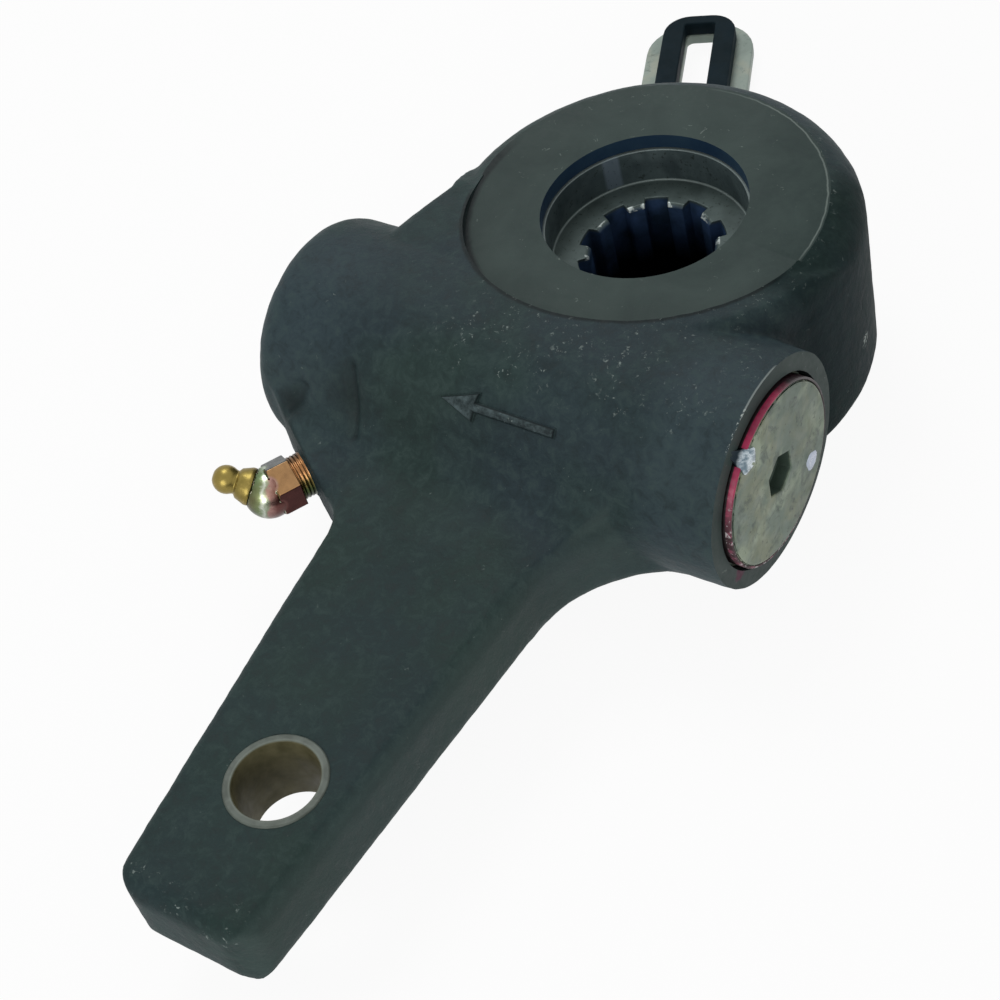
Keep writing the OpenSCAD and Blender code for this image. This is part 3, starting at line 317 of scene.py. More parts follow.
# Faces of the casting that a tool has cut
def machined_paint():
    paint = Paint("machined_casting", specular=0.16)
    patches = paint.between(paint.noise(19, 5, 0.6, 0.5), 0.36, 0.64)
    base = paint.mix(patches, colour("#293735"), colour("#374542"))
    grain = paint.between(paint.noise(1.5, 3), 0.4, 0.7)
    base = paint.over(base, paint.times(grain, 0.25), "#43504c")
    marks = paint.between(paint.noise(2.4, 3, 0.75, 0.8), 0.67, 0.72)
    base = paint.over(base, paint.times(marks, 0.5), "#7b8782")
    base = paint.over(base, paint.times(paint.band("X", -60, -36, 12), 0.3), "#1c2726")
    # Painted shade in the corner along the ring's edge at the front, and a bright line along the edge on
    # the right, partly wear and partly painted highlight
    waver = paint.between(paint.noise(3, 3), 0, 1, -0.35, 0.35)
    edge = paint.plus(paint.distance((0, 0, 0), "XY"), waver)
    side = paint.towards(paint.place, (0.9, 0.43, 0))
    upper = paint.band("Z", HEAD_TOP - 0.5, HEAD_TOP + 1, 0.1)
    corner = paint.times(paint.between(edge, RING_R - 1.9, RING_R - 0.9), upper)
    front = paint.times(paint.between(side, 0.012, 0.0), paint.band("Y", -60, FRONT_Y + 12, 8))
    base = paint.over(base, paint.times(corner, front), "#141d1e")
    # Painted highlight, partly wear, along the ring's edge on the right
    wear_and_glint = paint.between(edge, RING_R - 0.4, RING_R - 0.2, 0, 0.5)
    wear_and_glint = paint.times(wear_and_glint, upper, paint.between(side, 0.012, 0.032))
    wear_and_glint = paint.times(wear_and_glint, paint.band("Y", 3, 60, 12), paint.between(edge, RING_R + 0.2, RING_R))
    base = paint.over(base, wear_and_glint, "#8b9792")
    # Sealant that has run onto the boss's end
    wander = paint.between(paint.noise(2, 3), 0, 1, -2, 2)
    run = paint.plus(paint.distance((BOSS_REACH, -67.2, -15.2)), wander)
    base = paint.over(base, paint.between(run, 2.6, 1.6), "#4f2539")
    return paint.finish(base, paint.between(grain, 0, 1, 0.5, 0.62), paint.noise(0.7, 3), 0.3, 0.06)


# Dark blue wall of the mouth
def mouth_paint():
    paint = Paint("mouth_wall", specular=0.2)
    cloud = paint.between(paint.noise(9, 4), 0.35, 0.65)
    base = paint.mix(cloud, colour("#1b3046"), colour("#22384a"))
    return paint.finish(base, paint.between(cloud, 0, 1, 0.4, 0.55), paint.noise(0.7, 3), 0.2, 0.05)


# Blotchy zinc of the end cover, with painted shade inside its socket
def cover_paint():
    paint = Paint("cover_zinc", 0.3, 0.4)
    cloud = paint.between(paint.noise(9, 4, 0.6, 0.4), 0.42, 0.6)
    base = paint.mix(cloud, colour("#68786b"), colour("#788069"))
    pale = paint.between(paint.noise(12, 3, 0.6), 0.52, 0.64)
    base = paint.over(base, paint.times(pale, 0.85), "#95a28b")
    stains = paint.between(paint.noise(5, 4, 0.7, 0.6), 0.53, 0.64)
    base = paint.over(base, paint.times(stains, 0.75), "#46544a")
    far = paint.band("Y", WORM_Y + 7, WORM_Y + 40, 8)
    base = paint.over(base, paint.times(far, 0.3), "#4a574d")
    marks = paint.between(paint.noise(1.6, 3, 0.7), 0.63, 0.69)
    base = paint.over(base, paint.times(marks, 0.7), "#2c342e")
    # Painted shade inside the socket
    middle = paint.between(paint.distance((0, WORM_Y, 0), "YZ"), 6.4, 6.0)
    socket_shade = paint.times(middle, paint.band("X", COVER_FACE - 9, COVER_FACE - 0.8, 0.5))
    base = paint.over(base, socket_shade, "#4e5e54")
    roughness = paint.between(paint.noise(4, 3), 0.3, 0.7, 0.34, 0.55)
    return paint.finish(base, roughness, paint.noise(1.2, 4, 0.6), 0.3, 0.1)


# Red seal, bright at the upper left, duller towards the bottom and torn and dirty there, with painted
# shade deep in the recess and on the far side
def seal_paint():
    paint = Paint("red_seal", specular=0.4)
    low = paint.band("Z", -30, 3, 11)
    dirt = paint.times(low, paint.between(paint.noise(2.2, 3, 0.7), 0.38, 0.5))
    base = paint.mix(paint.between(paint.noise(4, 3), 0.4, 0.65), colour("#b32a57"), colour("#8c2146"))
    base = paint.over(base, paint.times(low, 0.8), "#7b4557")
    base = paint.over(base, dirt, "#32191f")
    specks = paint.times(low, paint.between(paint.noise(1.3, 2, 0.7), 0.58, 0.62))
    base = paint.over(base, specks, "#b9b3b4")
    # Painted shade: black deep in the recess and on the far side
    base = paint.over(base, paint.band("X", 50, BOSS_REACH + 0.25, 0.2), "#1a1012")
    base = paint.over(base, paint.band("Y", WORM_Y + 10, WORM_Y + 40, 6), "#2a181e")
    return paint.finish(base, paint.between(dirt, 0, 1, 0.35, 0.6), paint.noise(0.8, 3), 0.3, 0.08)


# Bright punched steel, with painted shade where it lies in its groove
def stake_paint():
    paint = Paint("stake_steel", 0.85)
    streaks = paint.between(paint.noise(1.6, 4, 0.7, 0.8), 0.4, 0.6)
    base = paint.mix(streaks, colour("#6d7f8a"), colour("#c3ced4"))
    # Painted shade where the stake lies in its groove
    base = paint.over(base, paint.band("X", 50, BOSS_REACH + 0.7, 0.9), "#1d2830")
    return paint.finish(base, paint.between(streaks, 0, 1, 0.3, 0.18), paint.noise(0.9, 3), 0.3, 0.1)


# Plated steel, partly its own colours and partly painted light and shade: lit copper flats with painted
# maroon shade below, green and dark on the thread's shaded side, green and pink on the bend with a painted
# highlight between
def plating_paint():
    paint = Paint("nipple_plate", 0.8, 0.5)
    cloud = paint.between(paint.noise(2.5, 3, 0.6, 0.5), 0.3, 0.7, -0.1, 0.1)
    # Colour by which way each face turns: painted light and shade over the plating's copper, maroon and
    # green
    turn = paint.between(paint.plus(paint.towards(paint.normal, (-0.612, 0.354, 0.707)), cloud), -1, 1)
    flats_light_and_shade = paint.ramp(turn, ((0.0, "#331918"), (0.25, "#4b2623"), (0.4, "#9c7150"), (0.5, "#b58b5e"),
                              (0.68, "#8f6d49"), (0.85, "#2f3735"), (1.0, "#232a29")))
    thread_light_and_shade = paint.ramp(turn, ((0.0, "#1d2216"), (0.2, "#3d4a24"), (0.34, "#7d6b3a"), (0.5, "#b07f52"),
                               (0.7, "#96683f"), (1.0, "#4d4030")))
    # Across the bend: green, a painted highlight in the middle, then pink and maroon
    across = paint.between(paint.plus(paint.towards(paint.normal, (0.829, 0.525, -0.191)), cloud), -1, 1)
    bend_light_and_shade = paint.ramp(across, ((0.0, "#2a3524"), (0.2, "#455639"), (0.35, "#6d8259"), (0.43, "#c9d2c4"),
                               (0.49, "#8f9d82"), (0.55, "#a58079"), (0.68, "#6c4440"), (1.0, "#43241f")))
    shade = paint.between(paint.towards(paint.normal, (0, 0, 1)), 0.0, -0.8)
    bend_light_and_shade = paint.over(bend_light_and_shade, paint.times(shade, 0.7), "#4c4340")
    near = paint.between(paint.distance(PAD_POINT + PAD_NORMAL * NIPPLE_ELBOW), 6.9, 6.6)
    base = paint.mix(near, flats_light_and_shade, bend_light_and_shade)
    root = paint.between(paint.distance(PAD_POINT - PAD_NORMAL * 20), 23.9, 23.6)
    base = paint.mix(root, base, thread_light_and_shade)
    roughness = paint.between(paint.noise(1.5, 3), 0.3, 0.7, 0.22, 0.36)
    return paint.finish(base, roughness, paint.noise(0.5, 3), 0.12, 0.04)


# Steel of the clevis bush, brown on the worn wall inside it, with a painted highlight round the lip of its
# bore
def bush_paint():
    paint = Paint("bush_steel", 0.1, 0.3)
    cloud = paint.between(paint.noise(5, 4, 0.6, 0.4), 0.4, 0.62)
    base = paint.mix(cloud, colour("#5c645d"), colour("#4a514a"))
    radius = paint.distance((0, PIN_Y, 0), "XY")
    wall = paint.between(radius, 10.5, 10.25)
    worn = paint.mix(paint.between(paint.noise(4, 4), 0.35, 0.65), colour("#504d36"), colour("#646047"))
    base = paint.mix(wall, base, worn)
    # Painted highlight round the lip of the bore
    lip_light_and_shade = paint.between(radius, 11.0, 10.6, 0, 0.35)
    base = paint.over(base, paint.times(lip_light_and_shade, paint.between(radius, 10.25, 10.5)), "#7f867c")
    paint.feed(paint.shader.inputs["Specular IOR Level"], paint.between(wall, 0, 1, 0.3, 0.08))
    roughness = paint.between(paint.noise(3, 3), 0.3, 0.7, 0.4, 0.55)
    return paint.finish(base, roughness, paint.noise(0.6, 3), 0.2, 0.05)


# Steel of the worm wheel, with painted shade and a painted sheen on its counterbore's wall, painted
# highlights on its edges, partly wear, and dark blue then black painted shade down its spline
def wheel_paint():
    paint = Paint("wheel_steel", 0.3, 0.3)
    cloud = paint.between(paint.noise(7, 4), 0.38, 0.65)
    base = paint.mix(cloud, colour("#4f5c5a"), colour("#404c4a"))
    # Painted shade: the counterbore's wall darker than its floor, with a painted sheen on it
    wall = paint.band("Z", SPLINE_TOP + 0.6, 40, 0.2)
    base = paint.mix(wall, base, paint.mix(cloud, colour("#485556"), colour("#374345")))
    sheen = paint.times(wall, paint.between(paint.distance((-20.1, 16.0, 0), "XY"), 2.6, 1.8))
    base = paint.over(base, paint.times(sheen, 0.8), "#63717b")
    marks = paint.between(paint.noise(1.3, 3, 0.7), 0.6, 0.66)
    base = paint.over(base, paint.times(marks, 0.7), "#202826")
    radius = paint.distance((0, 0, 0), "XY")
    depth = paint.band("Z", -60, SPLINE_TOP - 1.2, 1.0)
    base = paint.mix(depth, base, paint.mix(cloud, colour("#3b5275"), colour("#293a4e")))
    # Painted shade: near black deep down the spline
    deep_shade = paint.band("Z", -60, -8, 15)
    base = paint.over(base, deep_shade, "#040608")
    # Painted highlights on the spline's lead-in, partly wear
    wear_and_glint = paint.between(paint.noise(4.5, 3, 0.7), 0.54, 0.6)
    lead_wear_and_glint = paint.times(paint.band("Z", SPLINE_TOP - 0.9, SPLINE_TOP, 0.1), wear_and_glint)
    lead_wear_and_glint = paint.times(lead_wear_and_glint, paint.between(radius, 17.4, 17.1))
    base = paint.over(base, lead_wear_and_glint, "#c2ccc9")
    # Painted highlights along the hub's top edge and the counterbore floor's corner
    rim = paint.times(paint.band("Z", HUB_TOP - 0.2, HUB_TOP + 1, 0.1), 0.5)
    corner = paint.band("Z", SPLINE_TOP - 0.1, SPLINE_TOP + 0.4, 0.1)
    corner = paint.times(corner, paint.between(radius, 25.1, 25.4, 0, 0.5))
    base = paint.over(base, paint.larger(rim, corner), "#8f9b99")
    paint.feed(paint.shader.inputs["Specular IOR Level"], paint.between(depth, 0, 1, 0.3, 0.0))
    paint.feed(paint.shader.inputs["Metallic"], paint.between(depth, 0, 1, 0.3, 0.0))
    roughness = paint.between(paint.noise(3, 3), 0.3, 0.7, 0.36, 0.52)
    return paint.finish(base, roughness, paint.noise(0.6, 3), 0.2, 0.05)


# Pale zinc of the control arm, with smudges and rubbed marks
def control_paint():
    paint = Paint("control_zinc", 0.25, 0.4)
    cloud = paint.between(paint.noise(14, 4, 0.6, 0.4), 0.38, 0.62)
    base = paint.mix(cloud, colour("#9ca9a0"), colour("#86948c"))
    warm = paint.between(paint.noise(9, 3), 0.52, 0.66)
    base = paint.over(base, paint.times(warm, 0.5), "#abab99")
    smudge = paint.between(paint.noise(4, 4, 0.7, 0.6), 0.58, 0.7)
    base = paint.over(base, paint.times(smudge, 0.6), "#5c6a66")
    roughness = paint.between(paint.noise(5, 3), 0.3, 0.7, 0.4, 0.55)
    return paint.finish(base, roughness, paint.noise(0.8, 4, 0.6), 0.2, 0.05)


# Metal with blotches of a second colour and small marks of a third
def metal_paint(name, main, blotch, mark, metallic=0.7, rough=(0.32, 0.5)):
    paint = Paint(name, metallic)
    cloud = paint.between(paint.noise(7, 4, 0.6, 0.4), 0.4, 0.65)
    base = paint.mix(cloud, colour(main), colour(blotch))
    marks = paint.between(paint.noise(1.4, 3, 0.7), 0.58, 0.68)
    base = paint.over(base, paint.times(marks, 0.5), mark)
    fine = paint.noise(0.5, 3, 0.6)
    roughness = paint.between(paint.noise(4, 3), 0.3, 0.7, rough[0], rough[1])
    return paint.finish(base, roughness, fine, 0.15, 0.04)


# Rubber or plastic in two close colours
def soft_paint(name, main, second, rough=(0.5, 0.7), specular=0.4):
    paint = Paint(name, specular=specular)
    cloud = paint.between(paint.noise(8, 4), 0.35, 0.7)
    base = paint.mix(cloud, colour(main), colour(second))
    roughness = paint.between(paint.noise(3, 3), 0.3, 0.7, rough[0], rough[1])
    return paint.finish(base, roughness, paint.noise(0.6, 3), 0.2, 0.04)


def add_object(name, mesh):
    made = bpy.data.objects.new(name, mesh)
    scene.collection.objects.link(made)
    return made


# Mesh with its modifiers made real
def settle(obj):
    graph = bpy.context.evaluated_depsgraph_get()
    mesh = bpy.data.meshes.new_from_object(obj.evaluated_get(graph))
    obj.modifiers.clear()
    obj.data = mesh
    return obj


def discard(obj):
    mesh = obj.data
    bpy.data.objects.remove(obj)
    bpy.data.meshes.remove(mesh)


# Closed cylinder between two points given in millimetres
def add_cylinder(shape, start, end, radius, sides=128):
    start, end = Vector(start) * MM, Vector(end) * MM
    along = end - start
    turn = along.to_track_quat("Z", "Y").to_matrix().to_4x4()
    place = Matrix.Translation((start + end) / 2) @ turn
    bmesh.ops.create_cone(shape, cap_ends=True, segments=sides, radius1=radius * MM, radius2=radius * MM,
                          depth=along.length, matrix=place)


def add_box(shape, low, high):
    low, high = Vector(low) * MM, Vector(high) * MM
    size = Matrix.Diagonal((*(high - low), 1.0))
    bmesh.ops.create_cube(shape, size=1.0, matrix=Matrix.Translation((low + high) / 2) @ size)


# Mesh of a shape, without the normals that came with the solid
def mesh_from(shape, name):
    mesh = bpy.data.meshes.new(name)
    shape.to_mesh(mesh)
    shape.free()
    if "custom_normal" in mesh.attributes:
        mesh.attributes.remove(mesh.attributes["custom_normal"])
    return mesh


# Join or cut one object with another, which is used up
def combine(obj, other, operation):
    change = obj.modifiers.new("combine", "BOOLEAN")
    change.operation = operation
    change.solver = "MANIFOLD"
    change.object = other
    settle(obj)
    discard(other)


# Copy of a solid's mesh with the vertices along its edges joined
def joined_copy(node):
    shape = bmesh.new()
    shape.from_mesh(nodes[node].data)
    bmesh.ops.remove_doubles(shape, verts=shape.verts, dist=1e-7)
    return shape


# Casting inside the spot face of the ring, up to the slope that rises to the boss
def add_front_fill(shape):
    steps = 48
    radius = RING_R - 0.1
    start = math.asin(FRONT_Y / radius)
    top, bottom = [], []
    for k in range(steps + 1):
        angle = start + (-math.pi - 2 * start) * k / steps
        x, y = radius * math.cos(angle), radius * math.sin(angle)
        rise = (BOSS_R - HEAD_TOP) * (FRONT_Y - y) / (FRONT_Y - WORM_Y)
        top.append(shape.verts.new(Vector((x, y, HEAD_TOP + 0.6 + rise)) * MM))
        bottom.append(shape.verts.new(Vector((x, y, HEAD_TOP - 5)) * MM))
    faces = [shape.faces.new(top), shape.faces.new(list(reversed(bottom)))]
    for k in range(steps + 1):
        after = (k + 1) % (steps + 1)
        faces.append(shape.faces.new((bottom[k], bottom[after], top[after], top[k])))
    bmesh.ops.recalc_face_normals(shape, faces=faces)


# Solids that fill the casting's bores, reaching past the faces that are cut later
def fill_bores(shape):
    add_cylinder(shape, (0, 0, HEAD_BOTTOM + 4), (0, 0, HEAD_TOP + 0.6), RING_R - 0.1)
    add_front_fill(shape)
    add_cylinder(shape, (0, 0, HEAD_BOTTOM - 4), (0, 0, HEAD_BOTTOM + 6), LOWER_FILL_R)
    add_cylinder(shape, (-66, WORM_Y, 0), (BOSS_REACH - 2, WORM_Y, 0), WORM_FILL_R)
    add_cylinder(shape, (45, WORM_Y, 0), (BOSS_REACH + 5, WORM_Y, 0), COVER_FILL_R)
    add_cylinder(shape, (0.2 - BOSS_TAIL, WORM_Y, 0), (-60, WORM_Y, 0), TAIL_FILL_R)
    add_cylinder(shape, (0, PIN_Y, -18.8), (0, PIN_Y, 0.8), EYE_FILL_R)
    add_cylinder(shape, PAD_POINT - PAD_NORMAL * 40, PAD_POINT - PAD_NORMAL * 0.2, NIPPLE_FILL_R)


# Depth of the creases at each point, in millimetres
def crease_depth(points):
    depth = np.zeros(len(points), np.float32)
    for deep, wide, *line in CREASES:
        for start, end in zip(line, line[1:]):
            start, end = np.array(start), np.array(end)
            along = end - start
            part = np.clip((points - start) @ along / (along @ along), 0, 1)
            away = np.linalg.norm(points - start - part[:, None] * along, axis=1)
            depth = np.maximum(depth, deep * np.exp(-((away / wide) ** 2)))
    return depth


# Small bumps of the cast surface, pushed along the normals
def roughen(mesh):
    count = len(mesh.vertices)
    points = np.empty(count * 3, np.float32)
    mesh.vertices.foreach_get("co", points)
    normals = np.empty(count * 3, np.float32)
    mesh.vertex_normals.foreach_get("vector", normals)
    points = points.reshape(-1, 3)
    heights = np.empty(count, np.float32)
    for i, p in enumerate(points):
        at = Vector(p)
        heights[i] = sum(height * noise.noise(at / (size * MM)) for height, size in SKIN_BUMPS)
    heights -= crease_depth(points / MM)
    points += normals.reshape(-1, 3) * (heights[:, None] + SKIN_LIFT) * MM
    mesh.vertices.foreach_set("co", points.ravel())
    mesh.update()


# Raised arrow on the boss, drawn along the worm and round it
def arrow_shape():
    count = len(ARROW)
    shape = bmesh.new()
    rings = []
    for radius, inset in ARROW_STEPS:
        ring = []
        for k in range(count):
            before, here, after = (Vector(ARROW[(k + d) % count]) for d in (-1, 0, 1))
            first = (here - before).normalized()
            second = (after - here).normalized()
            inward = Vector((first.y, -first.x)) + Vector((second.y, -second.x))
            inward = inward.normalized()
            reach = inset / max(0.45, inward.dot(Vector((first.y, -first.x))))
            x, s = here + inward * reach
            angle = (ARROW_MIDDLE + s) / BOSS_R
            point = Vector((x, WORM_Y + radius * math.sin(angle), radius * math.cos(angle))) * MM
            ring.append(shape.verts.new(point))
        rings.append(ring)
    for low, high in zip(rings, rings[1:]):
        for k in range(count):
            after = (k + 1) % count
            shape.faces.new((low[k], low[after], high[after], high[k]))
    shape.faces.new(rings[-1])
    shape.faces.new(reversed(rings[0]))
    bmesh.ops.triangulate(shape, faces=shape.faces)
    bmesh.ops.recalc_face_normals(shape, faces=shape.faces)
    return shape


# What the tools cut out of the casting: each plug less the solid housing
def bore_plugs():
    plugs = [bmesh.new() for _ in range(7)]
    mouth, lower, worm, eye, tail, nipple, rack = plugs
    add_cylinder(mouth, (0, 0, HEAD_BOTTOM - 1), (0, 0, HEAD_TOP + 14), RING_R - 0.05, 192)
    add_cylinder(lower, (0, 0, HEAD_BOTTOM - 14), (0, 0, -14), LOWER_CUT_R, 192)
    add_cylinder(worm, (-67, WORM_Y, 0), (BOSS_REACH + 12, WORM_Y, 0), WORM_CUT_R, 192)
    add_cylinder(eye, (0, PIN_Y, -30), (0, PIN_Y, 10), EYE_CUT_R)
    add_cylinder(tail, (-BOSS_TAIL - 12, WORM_Y, 0), (-60, WORM_Y, 0), TAIL_CUT_R)
    add_cylinder(nipple, PAD_POINT - PAD_NORMAL * 40, PAD_POINT + PAD_NORMAL * 6, NIPPLE_CUT_R)
    add_box(rack, (37.6, -69, -19.5), (46.6, 15, -0.5))
    return plugs


# Casting of the housing: the solid smoothed like a casting, then cut again where it is machined
def make_housing():
    shape = joined_copy("housing")
    fill_bores(shape)
    skin = add_object("housing_casting", mesh_from(shape, "housing_casting"))
    grid = skin.modifiers.new("grid", "REMESH")
    grid.mode = "VOXEL"
    grid.voxel_size = SKIN_GRID * MM
    smooth = skin.modifiers.new("smooth", "SMOOTH")
    smooth.factor = 0.5
    smooth.iterations = SKIN_PASSES
    settle(skin)
    roughen(skin.data)
    combine(skin, add_object("arrow", mesh_from(arrow_shape(), "arrow")), "UNION")
    for k, plug in enumerate(bore_plugs()):
        tool = add_object(f"plug_{k}", mesh_from(plug, f"plug_{k}"))
        solid = add_object("solid", mesh_from(joined_copy("housing"), "solid"))
        combine(tool, solid, "DIFFERENCE")
        combine(skin, tool, "DIFFERENCE")
    end_cut, top_cut = bmesh.new(), bmesh.new()
    add_cylinder(end_cut, (BOSS_REACH, WORM_Y, 0), (BOSS_REACH + 20, WORM_Y, 0), 40)
    add_box(top_cut, (-70, FRONT_Y + 4, HEAD_TOP), (70, 70, HEAD_TOP + 9))
    for cut in (end_cut, top_cut):
        combine(skin, add_object("face_cut", mesh_from(cut, "face_cut")), "DIFFERENCE")
    mark_faces(skin.data)
    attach(skin, "housing")
    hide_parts("housing")
    return skin


# Material of each face, from where it lies
def mark_faces(mesh):
    count = len(mesh.polygons)
    middles = np.empty(count * 3, np.float32)
    mesh.polygons.foreach_get("center", middles)
    normals = np.empty(count * 3, np.float32)
    mesh.polygons.foreach_get("normal", normals)
    x, y, z = middles.reshape(-1, 3).T / MM
    nx, ny, nz = normals.reshape(-1, 3).T
    # A cut face lies within the slack of its level and is as good as square to its axis
    slack = 0.03
    square = 0.99
    top = (np.abs(z - HEAD_TOP) < slack) & (nz > square)
    bottom = (np.abs(z - HEAD_BOTTOM) < slack) & (nz < -square)
    end = (np.abs(x - BOSS_REACH) < slack) & (nx > square)
    mouth = (np.hypot(x, y) < RING_R) & (z > HEAD_BOTTOM) & (z < HEAD_TOP - slack)
    mouth &= x * nx + y * ny < 0
    index = np.zeros(count, np.int32)
    index[top | bottom | end] = 1
    index[mouth] = 2
    mesh.materials.clear()
    for material in (casting_paint(), machined_paint(), mouth_paint()):
        mesh.materials.append(material)
    mesh.polygons.foreach_set("material_index", index)
    mesh.polygons.foreach_set("use_smooth", np.ones(count, bool))
    mesh.set_sharp_from_angle(angle=math.radians(38))
    mesh.update()


# Solid kept as it is, with eased edges and a material
def dress(name, material, edge_mm=0.0, segments=2):
    solid = nodes[name]
    solid.data.materials.clear()
    solid.data.materials.append(material)
    if edge_mm:
        weld = solid.modifiers.new("weld", "WELD")
        weld.merge_threshold = 1e-7
        flat = solid.modifiers.new("flat", "DECIMATE")
        flat.decimate_type = "DISSOLVE"
        flat.angle_limit = math.radians(1)
        edge = solid.modifiers.new("edge", "BEVEL")
        edge.width = edge_mm * MM
        edge.segments = segments
        edge.limit_method = "ANGLE"
        edge.angle_limit = math.radians(40)
        edge.use_clamp_overlap = False
        edge.harden_normals = True


def dress_solids():
    steel = metal_paint("worm_steel", "#6b6f72", "#5a5e60", "#8a8d8f")
    washer_steel = metal_paint("washer_steel", "#80827f", "#6d6f6c", "#a3a5a1")
    spring_steel = metal_paint("spring_steel", "#505357", "#3d4043", "#74777a")
    gear_steel = metal_paint("gear_steel", "#746f62", "#615d52", "#918c7d")
    clip_steel = metal_paint("clip_steel", "#4c4f50", "#3a3d3e", "#6f7273")
    plate_steel = metal_paint("plate_steel", "#99a09a", "#848c86", "#6f6d58")
    bronze = metal_paint("bronze", "#a98a4c", "#94773c", "#c3a668")
    brass = metal_paint("nipple_brass", "#8d7c40", "#776931", "#a89250", 0.8, (0.28, 0.42))
    rubber = soft_paint("black_rubber", "#1b1c1c", "#242525")
    gasket = soft_paint("gasket", "#2c2b29", "#383632")
    liner = soft_paint("liner_plastic", "#121f24", "#18262d", (0.5, 0.65), 0.05)
    dress("clevis_bush", bush_paint(), 0.5)
    dress("end_cover", cover_paint(), 0.4)
    dress("cover_seal", seal_paint(), 0.25)
    dress("nipple_base", plating_paint(), 0.3)
    dress("nipple_head", brass, 0.2)
    dress("lower_cover", plate_steel, 0.4)
    dress("lower_screws", washer_steel, 0.2)
    dress("lower_gasket", gasket)
    dress("thrust_ring", bronze, 0.3)
    dress("worm_bush", bronze)
    dress("worm_seal", rubber)
    dress("main_spring", spring_steel)
    dress("spring_seat", washer_steel)
    dress("spring_thrust_washer", washer_steel)
    dress("worm_wheel", wheel_paint(), 0.3)
    dress("wheel_seal_upper", rubber)
    dress("wheel_seal_lower", rubber)
    dress("worm_screw", steel)
    dress("clutch_ring", gear_steel)
    dress("pinion_washer", washer_steel)
    dress("pinion", gear_steel)
    dress("clutch_spring", spring_steel)
    dress("rack", steel)
    dress("control_disc", washer_steel, 0.3)
    dress("control_arm", control_paint(), 0.5)
    dress("slot_liner", liner, 0.6)
    dress("retaining_ring", clip_steel, 0.2)


# Point at a radius and an angle round the worm axis, x along it
def round_worm(radius, degrees, x):
    angle = math.radians(degrees)
    return Vector((x, WORM_Y + radius * math.cos(angle), radius * math.sin(angle))) * MM


# Closed sheet between an upper and a lower grid of points
def sheet_shape(upper, lower):
    shape = bmesh.new()
    grids = [[[shape.verts.new(p) for p in row] for row in grid] for grid in (upper, lower)]
    rows, columns = len(upper), len(upper[0])
    for grid in grids:
        for i in range(rows - 1):
            for j in range(columns - 1):
                shape.faces.new((grid[i][j], grid[i + 1][j], grid[i + 1][j + 1], grid[i][j + 1]))
    border = [(i, 0) for i in range(rows)] + [(rows - 1, j) for j in range(1, columns)]
    border += [(i, columns - 1) for i in range(rows - 2, -1, -1)]
    border += [(0, j) for j in range(columns - 2, 0, -1)]
    for (i, j), (m, n) in zip(border, border[1:] + border[:1]):
        shape.faces.new((grids[0][i][j], grids[0][m][n], grids[1][m][n], grids[1][i][j]))
    bmesh.ops.recalc_face_normals(shape, faces=shape.faces)
    return shape


# Tongue of the boss's rim that a punch has driven over the cover
def make_stake():
    middle_degrees = 125.0
    # Radius round the worm, place along it and half width of each step, from the rim inwards
    profile = [(28.4, 57.9, 0.9), (26.4, 58.3, 1.1), (24.6, 59.0, 1.4), (23.4, 60.5, 2.2),
               (22.0, 61.0, 3.3), (20.4, 60.85, 3.1), (18.6, 60.6, 2.1), (17.2, 60.3, 0.8)]
    upper, lower = [], []
    for radius, x, half in profile:
        row, under = [], []
        for k in range(9):
            side = k / 4 - 1
            groove = 0.45 * math.exp(-((side - 0.15) / 0.3) ** 2)
            edge = 0.4 * side ** 4
            degrees = middle_degrees + math.degrees(side * half / radius)
            row.append(round_worm(radius, degrees, x - groove - edge))
            under.append(round_worm(radius, degrees, x - 2.2))
        upper.append(row)
        lower.append(under)
    stake = add_object("cover_stake", mesh_from(sheet_shape(upper, lower), "cover_stake"))
    stake.data.materials.append(stake_paint())
    smooth_faces(stake, 50)
    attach(stake, "housing")


# Shallow crater of a punch on the cover's face, painted bright bluish white as a highlight
def make_punch_mark():
    middle = round_worm(17.0, -35.0, COVER_FACE)
    steps = 24
    shape = bmesh.new()
    rings = []
    # Radius and rise of each ring, from its foot to the middle
    for radius, rise in ((2.5, -0.5), (2.5, 0.02), (2.1, 0.3), (1.4, 0.34), (0.7, 0.12)):
        ring = []
        for k in range(steps):
            angle = 2 * math.pi * k / steps
            reach = radius * (1 + 0.08 * math.sin(3 * angle + 1) + 0.05 * math.sin(5 * angle))
            offset = Vector((rise, reach * math.cos(angle), reach * math.sin(angle))) * MM
            ring.append(shape.verts.new(middle + offset))
        rings.append(ring)
    for low, high in zip(rings, rings[1:]):
        for k in range(steps):
            after = (k + 1) % steps
            shape.faces.new((low[k], low[after], high[after], high[k]))
    shape.faces.new(rings[-1])
    shape.faces.new(list(reversed(rings[0])))
    bmesh.ops.recalc_face_normals(shape, faces=shape.faces)
    mark = add_object("punch_mark", mesh_from(shape, "punch_mark"))
    # Painted highlight: the mark's zinc is far paler and bluer than the cover's
    mark.data.materials.append(metal_paint("mark_zinc_highlight", "#b4bccb", "#7f8994", "#dfe5ee", 0.7, (0.2, 0.35)))
    smooth_faces(mark, 60)
    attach(mark, "housing")


def smooth_faces(obj, degrees):
    obj.data.polygons.foreach_set("use_smooth", np.ones(len(obj.data.polygons), bool))
    obj.data.set_sharp_from_angle(angle=math.radians(degrees))


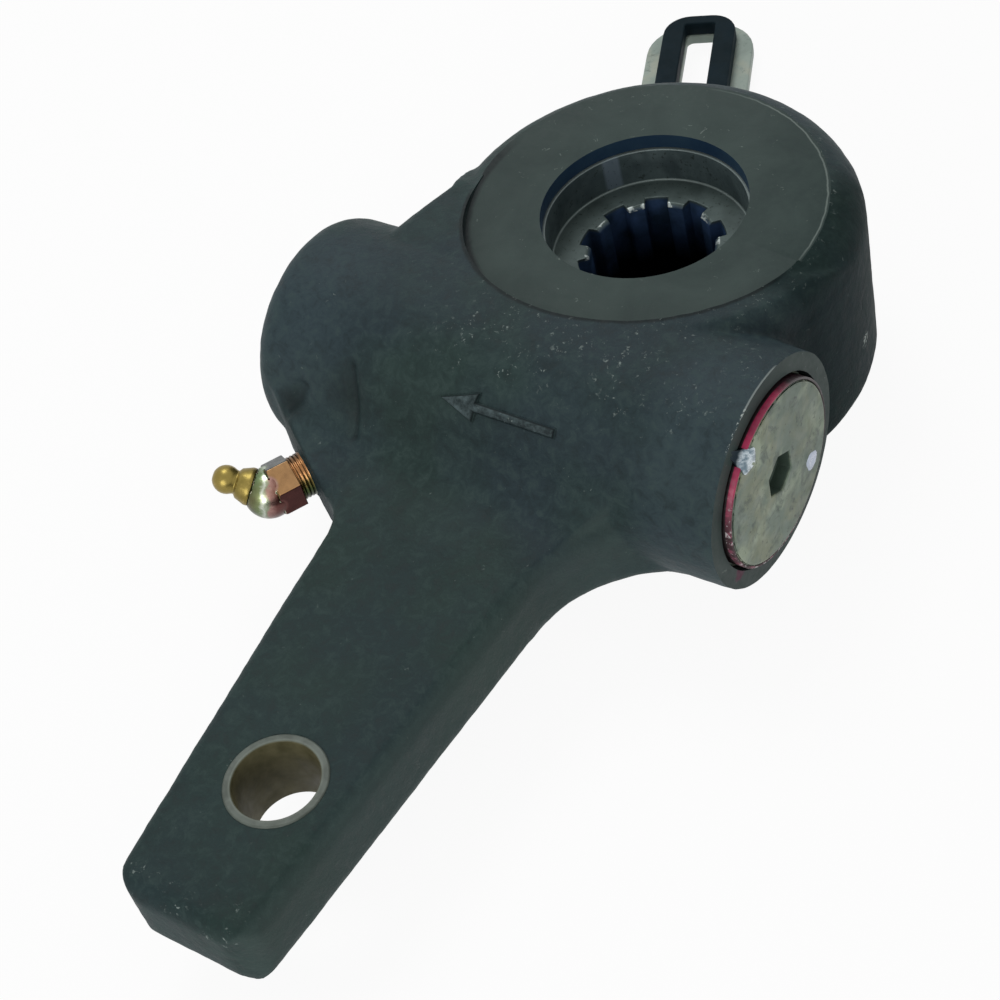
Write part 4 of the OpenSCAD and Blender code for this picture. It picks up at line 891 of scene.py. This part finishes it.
# Camera at the photograph's place, from the fitted view
def make_camera():
    place = Vector((247.30, -329.07, 380.89)) * MM
    right = Vector((0.82922, 0.52537, -0.19075))
    up = Vector((-0.29558, 0.70185, 0.64810))
    back = Vector((0.47437, -0.48104, 0.73728))
    data = bpy.data.cameras.new("camera")
    data.sensor_width = 36.0
    data.lens = data.sensor_width * 2.166
    data.clip_start = 0.01
    data.clip_end = 20.0
    camera = bpy.data.objects.new("camera", data)
    scene.collection.objects.link(camera)
    turn = Matrix((right, up, back)).transposed().to_4x4()
    camera.matrix_world = Matrix.Translation(place) @ turn
    scene.camera = camera


# Share of a ray that should see plain white
def white_share(tree, share):
    path = tree.nodes.new("ShaderNodeLightPath")
    total = None
    for name in ("Is Camera Ray", "Is Glossy Ray", "Is Transmission Ray"):
        if total is None:
            total = path.outputs[name]
            continue
        larger = tree.nodes.new("ShaderNodeMath")
        larger.operation = "MAXIMUM"
        tree.links.new(total, larger.inputs[0])
        tree.links.new(path.outputs[name], larger.inputs[1])
        total = larger.outputs["Value"]
    part = tree.nodes.new("ShaderNodeMath")
    part.operation = "MULTIPLY"
    tree.links.new(total, part.inputs[0])
    part.inputs[1].default_value = share
    return part.outputs["Value"]


def make_floor():
    shape = bmesh.new()
    bmesh.ops.create_grid(shape, x_segments=1, y_segments=1, size=FLOOR_REACH)
    floor = add_object("floor", mesh_from(shape, "floor"))
    floor.location.z = cad_box[0][2] - FLOOR_GAP
    material = bpy.data.materials.new("floor")
    material.use_nodes = True
    tree = material.node_tree
    tree.nodes.clear()
    output = tree.nodes.new("ShaderNodeOutputMaterial")
    plain = tree.nodes.new("ShaderNodeBsdfDiffuse")
    plain.inputs["Color"].default_value = (0.9, 0.9, 0.9, 1.0)
    white = tree.nodes.new("ShaderNodeEmission")
    white.inputs["Color"].default_value = (1.0, 1.0, 1.0, 1.0)
    blend = tree.nodes.new("ShaderNodeMixShader")
    tree.links.new(white_share(tree, FLOOR_WHITE), blend.inputs["Fac"])
    tree.links.new(plain.outputs["BSDF"], blend.inputs[1])
    tree.links.new(white.outputs["Emission"], blend.inputs[2])
    tree.links.new(blend.outputs["Shader"], output.inputs["Surface"])
    floor.data.materials.append(material)


# Round lamp turned towards a target, in metres and watts
def make_light(name, place, target, size, power):
    data = bpy.data.lights.new(name, "AREA")
    data.shape = "DISK"
    data.size = size
    data.energy = power
    light = bpy.data.objects.new(name, data)
    scene.collection.objects.link(light)
    light.location = place
    light.rotation_euler = (Vector(target) - Vector(place)).to_track_quat("-Z", "Y").to_euler()


def make_lights():
    world = bpy.data.worlds.new("studio")
    world.use_nodes = True
    tree = world.node_tree
    back = tree.nodes["Background"]
    back.inputs["Color"].default_value = (1.0, 1.0, 1.0, 1.0)
    level = tree.nodes.new("ShaderNodeMath")
    level.operation = "ADD"
    tree.links.new(white_share(tree, WORLD_WHITE), level.inputs[0])
    level.inputs[1].default_value = WORLD_LIGHT
    tree.links.new(level.outputs["Value"], back.inputs["Strength"])
    scene.world = world
    make_light("key", (-0.35, 0.25, 0.95), (0, -0.05, 0), 0.5, 3.8)
    make_light("front", (0.15, -0.95, 0.32), (0, -0.05, 0), 0.6, 3.2)


make_camera()
make_floor()
make_lights()
make_housing()
dress_solids()
make_stake()
make_punch_mark()
